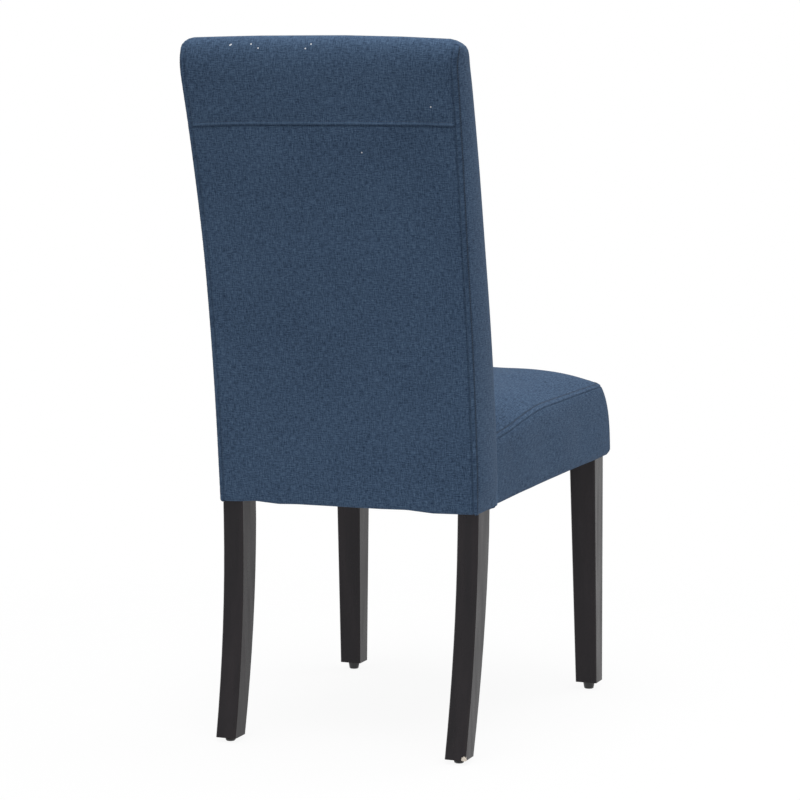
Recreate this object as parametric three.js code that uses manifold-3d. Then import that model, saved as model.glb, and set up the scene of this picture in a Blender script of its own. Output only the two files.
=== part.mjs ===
// Upholstered parsons dining chair. The seat and the tall curved back are covered in
// linen-look cloth. The front legs are straight and tapered, and each rear post is one
// piece from the floor to the top of the back, swept backwards at the foot.
// Millimetres, +Z up. The chair faces -Y, x = 0 is its middle, and left is the sitter's left.
// Every place is worked out with y = 0 on the front faces of the front legs.

import * as THREE from 'three';
import { mergeVertices } from 'three/addons/utils/BufferGeometryUtils.js';
import Module from 'manifold-3d';

const wasm = await Module();
wasm.setup();

// Overall sizes
const overallHeight = 1000;
const seatUndersideHeight = 370;
const seatRearDepth = 428;
const legSpreadFront = 434;
const legSpreadRear = 382;

// Clearances, and how far a cutter runs past what it cuts
const fitGap = 0.3;
const webGap = 0.5;
const cutOverrun = 5;
const weldDistance = 0.001;

// Cloth and boards
const clothThickness = 1.2;
const easedEdge = 1.4;

// The back: its rear face is a line that leans and then curves backwards as it rises
const hemDrop = 23;
const backPastSeat = 87.5;
const backLean = 45.6;
const backCurve = 70;
const backThickness = 88;
const backThinning = 36;
const backSideProud = 1.5;
const backFlare = 6.3;
const backFlareStartShare = 0.5;
const backEdgeRadius = 5;
const backEdgeLargestShare = 0.9;
const backRollHeight = 85;
const backRollPower = 2.2;
const backRollClosing = 0.6;
const backTopCornerWidth = 27;
const backTopCornerHeight = 14;
const backFrontCrown = 11;
const backRearCrown = 3;
const backCrownRise = 173;

// The seat: a padded box whose underside falls towards the back
const seatFall = 18.6;
const seatOverhang = 12;
const seatSideProudFront = 11;
const seatSideProudRear = 5;
const seatSideHeight = 109;
const seatCrown = 31;
const seatCrownFullness = 5;
const seatLowerCornerRadius = 13;
const seatSeamCornerRadius = 34;
const seatRearRadius = 6;
const seatTopLean = 9;
const seatTopLeanPower = 4;
const seatLowerRound = 4;
const seatLowerRoundHeight = 9;
const seamDip = 17;
const seamDipLength = 130;

// The frame under the cloth; the rear posts splay from the foot up to the hem
const postSplay = 4.2;
const railThickness = 22;
const railHeight = 70;
const boardThickness = 12;

const hemHeight = seatUndersideHeight - hemDrop;
const backHemDepth = seatRearDepth + backPastSeat;
const seatSlope = seatFall / seatRearDepth;
const legHalfSpreadFront = legSpreadFront / 2;
const legHalfSpreadRear = legSpreadRear / 2;
const seatHalfWidthFront = legHalfSpreadFront + seatSideProudFront;
const seatHalfWidthRear = legHalfSpreadRear + seatSideProudRear;
const backFrameHalf = legHalfSpreadRear + postSplay;
const backHalfWidthAtHem = backFrameHalf + backSideProud;
const backCrownStart = hemHeight + backCrownRise;

const left = 1;
const right = -1;
const sides = [['left', left], ['right', right]];

// Materials

function lacqueredWood() {
	return new THREE.MeshStandardMaterial({ color: 0x262426, roughness: 0.38, metalness: 0 });
}

function rawWood() {
	return new THREE.MeshStandardMaterial({ color: 0xb98f63, roughness: 0.7, metalness: 0 });
}

function plywood() {
	return new THREE.MeshStandardMaterial({ color: 0xc7a275, roughness: 0.75, metalness: 0 });
}

function blueCloth() {
	return new THREE.MeshStandardMaterial({ color: 0x3a4f6e, roughness: 0.95, metalness: 0 });
}

function foamRubber() {
	return new THREE.MeshStandardMaterial({ color: 0xe6dcc0, roughness: 1, metalness: 0 });
}

function elasticWeb() {
	return new THREE.MeshStandardMaterial({ color: 0x8c8270, roughness: 0.9, metalness: 0 });
}

function blackFelt() {
	return new THREE.MeshStandardMaterial({ color: 0x161617, roughness: 1, metalness: 0 });
}

function zincSteel() {
	return new THREE.MeshStandardMaterial({ color: 0xb9bcc0, roughness: 0.35, metalness: 1 });
}

function blackPlastic() {
	return new THREE.MeshStandardMaterial({ color: 0x1c1c1d, roughness: 0.5, metalness: 0 });
}

// Solids: surfaces that are closed, cut and named

function solidOf(geometry) {
	const bare = geometry.clone();
	bare.deleteAttribute('normal');
	bare.deleteAttribute('uv');
	const merged = mergeVertices(bare, weldDistance);
	return new wasm.Manifold(new wasm.Mesh({
		numProp: 3,
		vertProperties: new Float32Array(merged.attributes.position.array),
		triVerts: new Uint32Array(merged.index.array),
	}));
}

function geometryOf(solid) {
	const mesh = solid.getMesh();
	const geometry = new THREE.BufferGeometry();
	geometry.setAttribute('position', new THREE.BufferAttribute(mesh.vertProperties, 3));
	geometry.setIndex(new THREE.BufferAttribute(mesh.triVerts, 1));
	geometry.computeVertexNormals();
	return geometry;
}

function cut(geometry, tools) {
	let solid = solidOf(geometry);
	for (const tool of tools) {
		solid = solid.subtract(solidOf(tool));
	}
	return geometryOf(solid);
}

function join(geometries) {
	let solid = solidOf(geometries[0]);
	for (const geometry of geometries.slice(1)) {
		solid = solid.add(solidOf(geometry));
	}
	return geometryOf(solid);
}

function piece(name, geometry, material) {
	const mesh = new THREE.Mesh(geometry, material);
	mesh.name = name;
	return mesh;
}

// A surface through rings of points, lowest ring first, closed by a fan at both ends.
function loft(rings) {
	const count = rings[0].length;
	const positions = [];
	const triangles = [];
	for (const ring of rings) {
		for (const point of ring) {
			positions.push(point.x, point.y, point.z);
		}
	}
	for (let row = 0; row < rings.length - 1; row += 1) {
		for (let step = 0; step < count; step += 1) {
			const next = (step + 1) % count;
			const low = row * count;
			const high = low + count;
			triangles.push(low + step, low + next, high + next);
			triangles.push(low + step, high + next, high + step);
		}
	}
	for (const [ring, turned] of [[rings[0], true], [rings[rings.length - 1], false]]) {
		const centre = new THREE.Vector3();
		ring.forEach((point) => centre.add(point));
		centre.divideScalar(count);
		const hub = positions.length / 3;
		positions.push(centre.x, centre.y, centre.z);
		const start = turned ? 0 : (rings.length - 1) * count;
		for (let step = 0; step < count; step += 1) {
			const next = (step + 1) % count;
			const [first, second] = turned ? [next, step] : [step, next];
			triangles.push(hub, start + first, start + second);
		}
	}
	const geometry = new THREE.BufferGeometry();
	geometry.setAttribute('position', new THREE.Float32BufferAttribute(positions, 3));
	geometry.setIndex(triangles);
	geometry.computeVertexNormals();
	return geometry;
}

// Points round an outline, counter-clockwise: each corner is a curve that starts and ends
// at its radius from the corner, and each side after a corner is split evenly.
function roundedOutline(corners, radii, splits, arcSteps) {
	const count = corners.length;
	const towards = (from, to, distance) => (
		from.clone().add(to.clone().sub(from).setLength(distance))
	);
	const points = [];
	for (let index = 0; index < count; index += 1) {
		const corner = corners[index];
		const before = corners[(index + count - 1) % count];
		const after = corners[(index + 1) % count];
		const start = towards(corner, before, radii[index]);
		const end = towards(corner, after, radii[index]);
		points.push(...new THREE.QuadraticBezierCurve(start, corner, end).getPoints(arcSteps));
		const nextStart = towards(after, corner, radii[(index + 1) % count]);
		for (let step = 1; step < splits[index]; step += 1) {
			points.push(end.clone().lerp(nextStart, step / splits[index]));
		}
	}
	return points;
}

// A flat outline in plan, given as points, raised from one height to another.
function slab(points, low, high) {
	const geometry = new THREE.ExtrudeGeometry(new THREE.Shape(points), {
		depth: high - low,
		bevelEnabled: false,
	});
	return geometry.translate(0, 0, low);
}

// A rectangular bar between two opposite corners.
function bar(lowCorner, highCorner) {
	const size = highCorner.clone().sub(lowCorner);
	const centre = lowCorner.clone().add(highCorner).multiplyScalar(0.5);
	return new THREE.BoxGeometry(size.x, size.y, size.z).translate(centre.x, centre.y, centre.z);
}

// A solid turned about Z from a profile of [radius, height] points.
function turned(profile, facets) {
	const points = profile.map(([radius, height]) => new THREE.Vector2(radius, height));
	return new THREE.LatheGeometry(points, facets).rotateX(Math.PI / 2);
}

// Lays something built along +Z from the origin so that it runs from a point in a direction.
function aim(geometry, from, direction) {
	const turn = new THREE.Quaternion().setFromUnitVectors(
		new THREE.Vector3(0, 0, 1),
		direction.clone().normalize(),
	);
	return geometry.applyQuaternion(turn).translate(from.x, from.y, from.z);
}

function point2(x, y) {
	return new THREE.Vector2(x, y);
}

function point3(x, y, z) {
	return new THREE.Vector3(x, y, z);
}

// Plan points for the left half are mirrored for the right and keep their turn.
function mirrored(points, side) {
	const placed = points.map((point) => point2(point.x * side, point.y));
	return side === left ? placed : placed.reverse();
}

// The back's form

const backRise = overallHeight - hemHeight;

function backRearFace(height) {
	const rise = (height - hemHeight) / backRise;
	return backHemDepth + backLean * rise + backCurve * rise * rise;
}

function backDepth(height) {
	const rise = (height - hemHeight) / backRise;
	return backThickness - backThinning * rise * rise;
}

function backFrontFace(height) {
	return backRearFace(height) - backDepth(height);
}

function backHalfWidth(height) {
	const rise = THREE.MathUtils.clamp((height - hemHeight) / backRise, 0, 1);
	const flare = THREE.MathUtils.smoothstep(rise, backFlareStartShare, 1);
	return backHalfWidthAtHem + backFlare * flare;
}

// How much of the thickness is left as the padding rolls over the top, from 1 down to 0.
function rollShare(height, top) {
	const share = Math.max(0, (height - top + backRollHeight) / backRollHeight);
	return (1 - share ** backRollPower) ** backRollClosing;
}

// How far the sides draw in at the rounded upper corners.
function topCornerDrawIn(height, top) {
	const share = Math.max(0, (height - top + backTopCornerHeight) / backTopCornerHeight);
	return backTopCornerWidth * (1 - Math.sqrt(1 - share * share));
}

const backArcSteps = 3;
const backFrontSplits = 8;
const backRearSplits = 6;
const backSideSplits = 2;

// One level section of the back, drawn in by an inset from the cloth's outer face.
function backSection(height, inset) {
	const top = overallHeight - inset;
	const halfDepth = (backDepth(height) / 2 - inset) * rollShare(height, top);
	const middle = backRearFace(height) - backDepth(height) / 2;
	const halfWidth = backHalfWidth(height) - inset - topCornerDrawIn(height, top);
	const radius = Math.min(backEdgeRadius, halfDepth * backEdgeLargestShare);
	const corners = [
		point2(halfWidth, middle - halfDepth),
		point2(halfWidth, middle + halfDepth),
		point2(-halfWidth, middle + halfDepth),
		point2(-halfWidth, middle - halfDepth),
	];
	const radii = corners.map(() => radius);
	const splits = [backSideSplits, backRearSplits, backSideSplits, backFrontSplits];
	const outline = roundedOutline(corners, radii, splits, backArcSteps);
	const crownRise = THREE.MathUtils.clamp(
		(height - backCrownStart) / (overallHeight - backCrownStart),
		0,
		1,
	);
	const crownShare = Math.sin(Math.PI * crownRise);
	return outline.map((point) => {
		const across = 1 - (point.x / halfWidth) ** 2;
		const ahead = (middle - point.y) / halfDepth;
		const crown = ahead > 0 ? -backFrontCrown * ahead : -backRearCrown * ahead;
		return point3(point.x, point.y + crown * across * crownShare, height);
	});
}

const backStraightRows = 8;
const rollRowShares = [0.2, 0.4, 0.58, 0.73, 0.84, 0.92, 0.97, 0.999];

// The whole back as one closed form, from a given bottom to the top less the inset.
function backForm(inset, bottom) {
	const top = overallHeight - inset;
	const rollStart = top - backRollHeight;
	const heights = [];
	for (let row = 0; row <= backStraightRows; row += 1) {
		heights.push(THREE.MathUtils.lerp(bottom, rollStart, row / backStraightRows));
	}
	rollRowShares.forEach((share) => heights.push(rollStart + backRollHeight * share));
	return loft(heights.map((height) => backSection(height, inset)));
}

// The seat's form

function onSeatSlope(geometry) {
	const fall = new THREE.Matrix4().makeShear(0, 0, 0, -seatSlope, 0, 0);
	return geometry.applyMatrix4(fall).translate(0, 0, seatUndersideHeight);
}

function seatWorldHeight(height, depth) {
	return seatUndersideHeight + height - seatSlope * depth;
}

function seatHalfWidth(depth) {
	return THREE.MathUtils.mapLinear(
		depth, 0, seatRearDepth, seatHalfWidthFront, seatHalfWidthRear,
	);
}

function railHalfWidth(depth) {
	return THREE.MathUtils.mapLinear(
		depth, 0, seatRearDepth, legHalfSpreadFront, legHalfSpreadRear,
	);
}

// The seat ends where the back's front face stands at that height.
function seatRearAt(height) {
	return backFrontFace(seatWorldHeight(height, seatRearDepth)) - fitGap;
}

// The seam between the boxing and the top panel dips where the seat meets the back.
function seamHeight(depth) {
	const dip = THREE.MathUtils.smoothstep(depth, seatRearDepth - seamDipLength, seatRearDepth);
	return seatSideHeight - seamDip * dip;
}

const seatArcSteps = 4;
const seatSideSplits = 5;
const seatEndSplits = 5;
const boxingRowShares = [0, 0.08, 0.35, 0.6, 0.78, 0.9, 1];
const crownRowShares = [0.05, 0.12, 0.22, 0.38, 0.6, 0.85];

// The plan outline of the seat, drawn in by an inset and by the boxing's shape. Its rear
// edge stands at a level of its own, because the seam dips there.
function seatOutline(rearLevel, inset, drawIn, frontRadius) {
	const front = -seatOverhang + inset + drawIn;
	const rear = seatRearAt(rearLevel) - inset;
	const frontHalf = seatHalfWidth(front) - inset - drawIn;
	const rearHalf = seatHalfWidth(rear) - inset - drawIn / 2;
	const corners = [
		point2(frontHalf, front),
		point2(rearHalf, rear),
		point2(-rearHalf, rear),
		point2(-frontHalf, front),
	];
	const radii = [frontRadius, seatRearRadius, seatRearRadius, frontRadius];
	const splits = [seatSideSplits, seatEndSplits, seatSideSplits, seatEndSplits];
	return roundedOutline(corners, radii, splits, seatArcSteps);
}

// The padded seat as one closed form: boxing up to the seam, then the crowned top panel.
function seatForm(inset, bottom) {
	const rings = boxingRowShares.map((share) => {
		const level = THREE.MathUtils.lerp(bottom, seatSideHeight - inset, share);
		const under = Math.max(0, 1 - level / seatLowerRoundHeight);
		const drawIn = seatTopLean * share ** seatTopLeanPower + seatLowerRound * under * under;
		const radius = THREE.MathUtils.lerp(seatLowerCornerRadius, seatSeamCornerRadius, share ** 2);
		return seatOutline(level - seamDip * share, inset, drawIn, radius).map((point) => {
			const dip = (seatSideHeight - seamHeight(point.y)) * share;
			return point3(point.x, point.y, level - dip);
		});
	});
	const seam = rings[rings.length - 1];
	const middle = point2(0, seatRearDepth / 2);
	crownRowShares.forEach((share) => {
		const crown = seatCrown * (1 - (1 - share) ** seatCrownFullness);
		rings.push(seam.map((point) => {
			const full = seatSideHeight - inset;
			const sunk = (full - point.z) * (1 - share) ** seatCrownFullness;
			return point3(
				THREE.MathUtils.lerp(point.x, middle.x, share),
				THREE.MathUtils.lerp(point.y, middle.y, share),
				full - sunk + crown,
			);
		}));
	});
	return loft(rings);
}

// Wood of the back

const postWidth = 31;
const postFootDepth = 34;
const postHemDepth = 47;
const postTopDepth = 26;
const postSweep = 38;
const postStraightBelowHem = 32;
const postSweepHeight = hemHeight - postStraightBelowHem;
const topPadding = 52;
const postTopHeight = overallHeight - topPadding;
const rearWadding = 8;
const rearFootHeight = 6.8;
const sweepRows = 8;
const uprightRows = 8;

function postRearFace(height) {
	const sweepRise = Math.max(0, postSweepHeight - height) / (postSweepHeight - rearFootHeight);
	const lean = Math.max(hemHeight, height);
	return backRearFace(lean) - rearWadding + postSweep * sweepRise ** 2;
}

function postDepth(height) {
	if (height < postSweepHeight) {
		return THREE.MathUtils.mapLinear(
			height, rearFootHeight, postSweepHeight, postFootDepth, postHemDepth,
		);
	}
	const above = Math.max(hemHeight, height);
	return THREE.MathUtils.mapLinear(
		above, hemHeight, postTopHeight, postHemDepth, postTopDepth,
	);
}

function postFrontFace(height) {
	return postRearFace(height) - postDepth(height);
}

function postOuterFace(height) {
	const level = Math.min(height, hemHeight);
	return THREE.MathUtils.mapLinear(
		level, rearFootHeight, hemHeight, legHalfSpreadRear, backFrameHalf,
	);
}

function postHeights() {
	const heights = [];
	for (let row = 0; row < sweepRows; row += 1) {
		heights.push(THREE.MathUtils.lerp(rearFootHeight, postSweepHeight, row / sweepRows));
	}
	heights.push(postSweepHeight);
	for (let row = 0; row <= uprightRows; row += 1) {
		heights.push(THREE.MathUtils.lerp(hemHeight, postTopHeight, row / uprightRows));
	}
	return heights;
}

// A closed leg through a rectangle at each height, with its four long edges eased.
function squareLeg(heights, rectangleAt, side) {
	return loft(heights.map((height) => {
		const { inner, outer, front, rear } = rectangleAt(height);
		const corners = mirrored([
			point2(outer, front),
			point2(outer, rear),
			point2(inner, rear),
			point2(inner, front),
		], side);
		return roundedOutline(corners, corners.map(() => easedEdge), [1, 1, 1, 1], 1)
			.map((point) => point3(point.x, point.y, height));
	}));
}

function rearPost(name, side) {
	const blank = squareLeg(postHeights(), (height) => ({
		inner: postOuterFace(height) - postWidth,
		outer: postOuterFace(height),
		front: postFrontFace(height),
		rear: postRearFace(height),
	}), side);
	const foot = footPlace('rear', side);
	return piece(name, cut(blank, [insertSocket(foot)]), lacqueredWood());
}

// A rail between the posts, tilted with them, from its middle height.
function backRail(name, thickness, height, middleHeight) {
	const span = 2 * (backFrameHalf - postWidth - fitGap);
	const step = height / 2;
	const low = postRearFace(middleHeight - step) - postDepth(middleHeight - step) / 2;
	const high = postRearFace(middleHeight + step) - postDepth(middleHeight + step) / 2;
	const tilt = Math.atan2(low - high, height);
	const rail = piece(name, new THREE.BoxGeometry(span, thickness, height), rawWood());
	rail.rotation.x = tilt;
	rail.position.set(0, (low + high) / 2, middleHeight);
	return rail;
}

const topRailThickness = 22;
const topRailHeight = 62;
const topRailDrop = 4;
const middleRailThickness = 20;
const middleRailHeight = 50;
const middleRailRiseShare = 0.4716692;
const lowerRailThickness = 22;
const lowerRailHeight = 60;
const lowerRailLift = 6;
const middleRailLevel = hemHeight + backRise * middleRailRiseShare;

// Where the seat frame bolts to the back: both rails and the bolts share these places.
const boltHoleRadius = 4.5;
const boltShankRadius = 3.9;
const boltHeadRadius = 7.5;
const boltHeadHeight = 5.3;
const washerRadius = 8.8;
const washerThickness = 1.6;
const boltLowLevel = 20;
const boltHighLevel = 50;
const backBoltSpread = 110;
const teeNutRadius = 10.5;
const teeNutPlate = 1.4;
const teeNutBarrelRadius = 5.2;
const teeNutBarrelLength = 9;
const boltFacets = 12;
const hexFacets = 6;

const railLow = clothThickness + fitGap;
const railHigh = railLow + railHeight;
const boardLow = railHigh + fitGap;
const boardHigh = boardLow + boardThickness;
const mountingRailFront = backFrontFace(hemHeight);
const mountingRailRear = postFrontFace(hemHeight) - fitGap;
const mountingRailHalf = legHalfSpreadRear - backEdgeRadius;
const rearRailRear = mountingRailFront - fitGap;
const rearRailFront = rearRailRear - railThickness;

function hole(from, direction, radius, length) {
	const profile = [[0, 0], [radius, 0], [radius, length], [0, length]];
	return aim(turned(profile, boltFacets), from, direction);
}

// The four bolts between seat and back run rearwards, square to the rails.
function backBoltPlaces() {
	const places = [];
	for (const [sideName, side] of sides) {
		for (const [levelName, level] of [['lower', boltLowLevel], ['upper', boltHighLevel]]) {
			const height = seatWorldHeight(level, rearRailFront);
			places.push({
				name: `${levelName}_${sideName}`,
				from: point3(side * backBoltSpread, rearRailFront, height),
			});
		}
	}
	return places;
}

const rearwards = new THREE.Vector3(0, 1, 0);
const forwards = new THREE.Vector3(0, -1, 0);

function backMountingRail() {
	const lowHeight = seatWorldHeight(railLow, rearRailRear);
	const blank = bar(
		point3(-mountingRailHalf, mountingRailFront, lowHeight),
		point3(mountingRailHalf, mountingRailRear, lowHeight + railHeight),
	);
	const holes = backBoltPlaces().flatMap(({ from }) => [
		hole(from, rearwards, boltHoleRadius, postFrontFace(hemHeight) - rearRailFront + cutOverrun),
		hole(
			point3(from.x, mountingRailRear + cutOverrun, from.z),
			forwards,
			teeNutBarrelRadius + fitGap,
			teeNutBarrelLength + fitGap + cutOverrun,
		),
	]);
	return piece('back_mounting_rail', cut(blank, holes), rawWood());
}

// Webbing across the posts' front faces

const webHeight = 60;
const webThickness = 1.6;
const webCount = 4;
const webLowestRise = 153;
const webHighestDrop = 150;
const webInset = 3;
const webLowest = hemHeight + webLowestRise;
const webHighest = overallHeight - webHighestDrop;

function backWebs() {
	const webs = [];
	for (let index = 0; index < webCount; index += 1) {
		const level = THREE.MathUtils.lerp(webLowest, webHighest, index / (webCount - 1));
		const low = postFrontFace(level - webHeight / 2);
		const high = postFrontFace(level + webHeight / 2);
		const width = 2 * (backFrameHalf - webInset);
		const web = piece(
			`back_web_${index + 1}`,
			new THREE.BoxGeometry(width, webThickness, webHeight),
			elasticWeb(),
		);
		web.rotation.x = Math.atan2(low - high, webHeight);
		web.position.set(0, postFrontFace(level) - webGap - webThickness / 2, level);
		webs.push(web);
	}
	return webs;
}

// The space that the back's frame and webbing take up, as one form for cutting the foam.
function backFrameSpace(bottom, clearance) {
	const halfWidth = backFrameHalf + clearance;
	const top = postTopHeight + clearance;
	const rings = [];
	for (let row = 0; row <= uprightRows; row += 1) {
		const height = THREE.MathUtils.lerp(bottom, top, row / uprightRows);
		const rear = postRearFace(height) + clearance;
		const front = postFrontFace(height) - webGap - webThickness - webGap;
		rings.push([
			point3(halfWidth, front, height),
			point3(halfWidth, rear, height),
			point3(-halfWidth, rear, height),
			point3(-halfWidth, front, height),
		]);
	}
	return loft(rings);
}

function backFoam() {
	const inset = clothThickness + fitGap;
	const foamBottom = hemHeight + inset;
	const mountTop = seatWorldHeight(railHigh, rearRailRear) + fitGap;
	const mountSpace = bar(
		point3(-overallHeight, 0, 0),
		point3(overallHeight, postRearFace(hemHeight), mountTop),
	);
	const frameSpace = backFrameSpace(foamBottom - cutOverrun, fitGap);
	return piece('back_foam', cut(backForm(inset, foamBottom), [frameSpace, mountSpace]), foamRubber());
}

// The back cover: a sewn sock with its edge turned under, cut away where the seat bolts on

const hemTurnUnder = 24;

function backCover() {
	const outer = backForm(0, hemHeight);
	const inner = backForm(clothThickness, hemHeight + clothThickness);
	const halfOpening = backHalfWidthAtHem - hemTurnUnder;
	const opening = bar(
		point3(-halfOpening, 0, hemHeight - cutOverrun),
		point3(halfOpening, backHemDepth - hemTurnUnder, hemHeight + clothThickness + cutOverrun),
	);
	const postSpaces = sides.map(([, side]) => {
		const inside = side * (backFrameHalf - postWidth - fitGap);
		const outside = side * (backFrameHalf + fitGap);
		return bar(
			point3(Math.min(inside, outside), 0, hemHeight - cutOverrun),
			point3(
				Math.max(inside, outside),
				postRearFace(hemHeight) + fitGap,
				hemHeight + clothThickness + cutOverrun,
			),
		);
	});
	const seatWindow = bar(
		point3(-mountingRailHalf - fitGap, 0, hemHeight - cutOverrun),
		point3(
			mountingRailHalf + fitGap,
			mountingRailRear,
			seatWorldHeight(railHigh, rearRailRear) + fitGap,
		),
	);
	const geometry = cut(outer, [inner, opening, ...postSpaces, seatWindow]);
	return piece('back_cover', geometry, blueCloth());
}

// Wood of the seat

const legTopWidth = 41;
const legTopDepth = 44;
const legFootWidth = 34;
const legFootDepth = 32;
const legRake = 6;
const frontFootHeight = 11.8;

// The front leg is upright on its outer face, tapers on its inner and rear faces, and is
// raked forwards from the seat to the foot.
function frontLegAt(height) {
	const level = Math.min(height, seatUndersideHeight);
	const between = (foot, top) => (
		THREE.MathUtils.mapLinear(level, frontFootHeight, seatUndersideHeight, foot, top)
	);
	const front = between(-legRake, 0);
	return {
		inner: legHalfSpreadFront - between(legFootWidth, legTopWidth),
		outer: legHalfSpreadFront,
		front,
		rear: front + between(legFootDepth, legTopDepth),
	};
}

function frontLeg(name, side) {
	const top = seatWorldHeight(railHigh, legTopDepth) - fitGap;
	const blank = squareLeg([frontFootHeight, seatUndersideHeight, top], frontLegAt, side);
	const holes = legBoltPlaces(side).map(({ from, direction }) => (
		hole(from, direction, boltShankRadius + fitGap, legBoltLength + fitGap)
	));
	const socket = insertSocket(footPlace('front', side));
	return piece(name, cut(blank, [...holes, socket]), lacqueredWood());
}

function seatRailFront() {
	const halfSpan = legHalfSpreadFront - legTopWidth - fitGap;
	const plan = [
		point2(halfSpan, 0),
		point2(halfSpan, railThickness),
		point2(-halfSpan, railThickness),
		point2(-halfSpan, 0),
	];
	return piece('seat_rail_front', onSeatSlope(slab(plan, railLow, railHigh)), rawWood());
}

// The rear rail's back corners are clipped, so that the cloth can turn in behind them.
function seatRailRear() {
	const clipDepth = rearRailRear - backEdgeRadius;
	const plan = [
		point2(railHalfWidth(rearRailFront), rearRailFront),
		point2(railHalfWidth(clipDepth), clipDepth),
		point2(mountingRailHalf, rearRailRear),
		point2(-mountingRailHalf, rearRailRear),
		point2(-railHalfWidth(clipDepth), clipDepth),
		point2(-railHalfWidth(rearRailFront), rearRailFront),
	];
	const holes = backBoltPlaces().map(({ from }) => (
		hole(
			point3(from.x, rearRailFront - cutOverrun, from.z),
			rearwards,
			boltHoleRadius,
			railThickness + 2 * cutOverrun,
		)
	));
	const blank = onSeatSlope(slab(plan, railLow, railHigh));
	return piece('seat_rail_rear', cut(blank, holes), rawWood());
}

function seatRailSide(name, side) {
	const front = legTopDepth + fitGap;
	const rear = rearRailFront - fitGap;
	const plan = mirrored([
		point2(railHalfWidth(front), front),
		point2(railHalfWidth(rear), rear),
		point2(railHalfWidth(rear) - railThickness, rear),
		point2(railHalfWidth(front) - railThickness, front),
	], side);
	return piece(name, onSeatSlope(slab(plan, railLow, railHigh)), rawWood());
}

const frontBlockReach = 80;
const rearBlockReach = 42;
const blockClearOfRail = 8;
const blockLow = railLow + blockClearOfRail / 2;
const blockHigh = railHigh - blockClearOfRail;

function railInnerFace(depth) {
	return railHalfWidth(depth) - railThickness - fitGap;
}

// The ends of the left front block's long face, which slants across the corner.
function frontBlockFace() {
	const innerY = railThickness + fitGap;
	const rearY = innerY + frontBlockReach;
	return {
		start: point2(railInnerFace(innerY) - frontBlockReach, innerY),
		end: point2(railInnerFace(rearY), rearY),
	};
}

// Each front leg is held by two bolts that run through its corner block, square to the
// block's long face and into the leg's inner corner.
const legBoltLength = 58;

function legBoltPlaces(side) {
	const { start, end } = frontBlockFace();
	const middle = start.clone().lerp(end, 0.5);
	const along = end.clone().sub(start);
	const direction = point3(side * along.y, -along.x, 0).normalize();
	return [['lower', boltLowLevel], ['upper', boltHighLevel]].map(([levelName, level]) => ({
		name: levelName,
		from: point3(side * middle.x, middle.y, seatWorldHeight(level, middle.y)),
		direction,
	}));
}

function cornerBlockFront(name, side) {
	const { start, end } = frontBlockFace();
	const legInnerX = legHalfSpreadFront - legTopWidth - fitGap;
	const legRearY = legTopDepth + fitGap;
	const plan = mirrored([
		start,
		point2(legInnerX, start.y),
		point2(legInnerX, legRearY),
		point2(railInnerFace(legRearY), legRearY),
		end,
	], side);
	const holes = legBoltPlaces(side).map(({ from, direction }) => {
		const entry = from.clone().addScaledVector(direction, -cutOverrun);
		return hole(entry, direction, boltHoleRadius, legBoltLength);
	});
	const blank = onSeatSlope(slab(plan, blockLow, blockHigh));
	return piece(name, cut(blank, holes), rawWood());
}

function cornerBlockRear(name, side) {
	const rearY = rearRailFront - fitGap;
	const frontY = rearY - rearBlockReach;
	const plan = mirrored([
		point2(railInnerFace(frontY), frontY),
		point2(railInnerFace(rearY), rearY),
		point2(railInnerFace(rearY) - rearBlockReach, rearY),
	], side);
	return piece(name, onSeatSlope(slab(plan, blockLow, blockHigh)), rawWood());
}

const ventRadius = 15;
const ventFacets = 16;
const ventSpread = 85;
const ventFrontDepth = 120;
const ventRearDepth = 310;
const boardFrontSetBack = 2;
const boardSideSetBack = 3;
const boardCornerClip = 14;

function seatBoard() {
	const rear = rearRailRear - fitGap;
	const sideEdge = (depth) => railHalfWidth(depth) - boardSideSetBack;
	const clipDepth = boardFrontSetBack + boardCornerClip;
	const clipHalfWidth = sideEdge(boardFrontSetBack) - boardCornerClip;
	const outline = new THREE.Shape([
		point2(clipHalfWidth, boardFrontSetBack),
		point2(sideEdge(clipDepth), clipDepth),
		point2(sideEdge(rear), rear),
		point2(-sideEdge(rear), rear),
		point2(-sideEdge(clipDepth), clipDepth),
		point2(-clipHalfWidth, boardFrontSetBack),
	]);
	for (const x of [-ventSpread, ventSpread]) {
		for (const y of [ventFrontDepth, ventRearDepth]) {
			outline.holes.push(new THREE.Path().absarc(x, y, ventRadius, 0, 2 * Math.PI, true));
		}
	}
	const board = new THREE.ExtrudeGeometry(outline, {
		depth: boardThickness,
		bevelEnabled: false,
		curveSegments: ventFacets,
	});
	return piece('seat_board', onSeatSlope(board.translate(0, 0, boardLow)), plywood());
}

// Bolts, washers and tee nuts

function hexBolt(length) {
	const head = new THREE.CylinderGeometry(boltHeadRadius, boltHeadRadius, boltHeadHeight, hexFacets);
	head.rotateX(Math.PI / 2).translate(0, 0, -boltHeadHeight / 2);
	const overlap = boltHeadHeight / 2;
	const shank = turned([
		[0, -overlap],
		[boltShankRadius, -overlap],
		[boltShankRadius, length],
		[0, length],
	], boltFacets);
	return join([head, shank]);
}

function washer() {
	return turned([
		[boltHoleRadius, 0],
		[washerRadius, 0],
		[washerRadius, washerThickness],
		[boltHoleRadius, washerThickness],
		[boltHoleRadius, 0],
	], boltFacets);
}

function teeNut() {
	return turned([
		[boltHoleRadius, -teeNutBarrelLength],
		[teeNutBarrelRadius, -teeNutBarrelLength],
		[teeNutBarrelRadius, 0],
		[teeNutRadius, 0],
		[teeNutRadius, teeNutPlate],
		[boltHoleRadius, teeNutPlate],
		[boltHoleRadius, -teeNutBarrelLength],
	], boltFacets);
}

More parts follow.
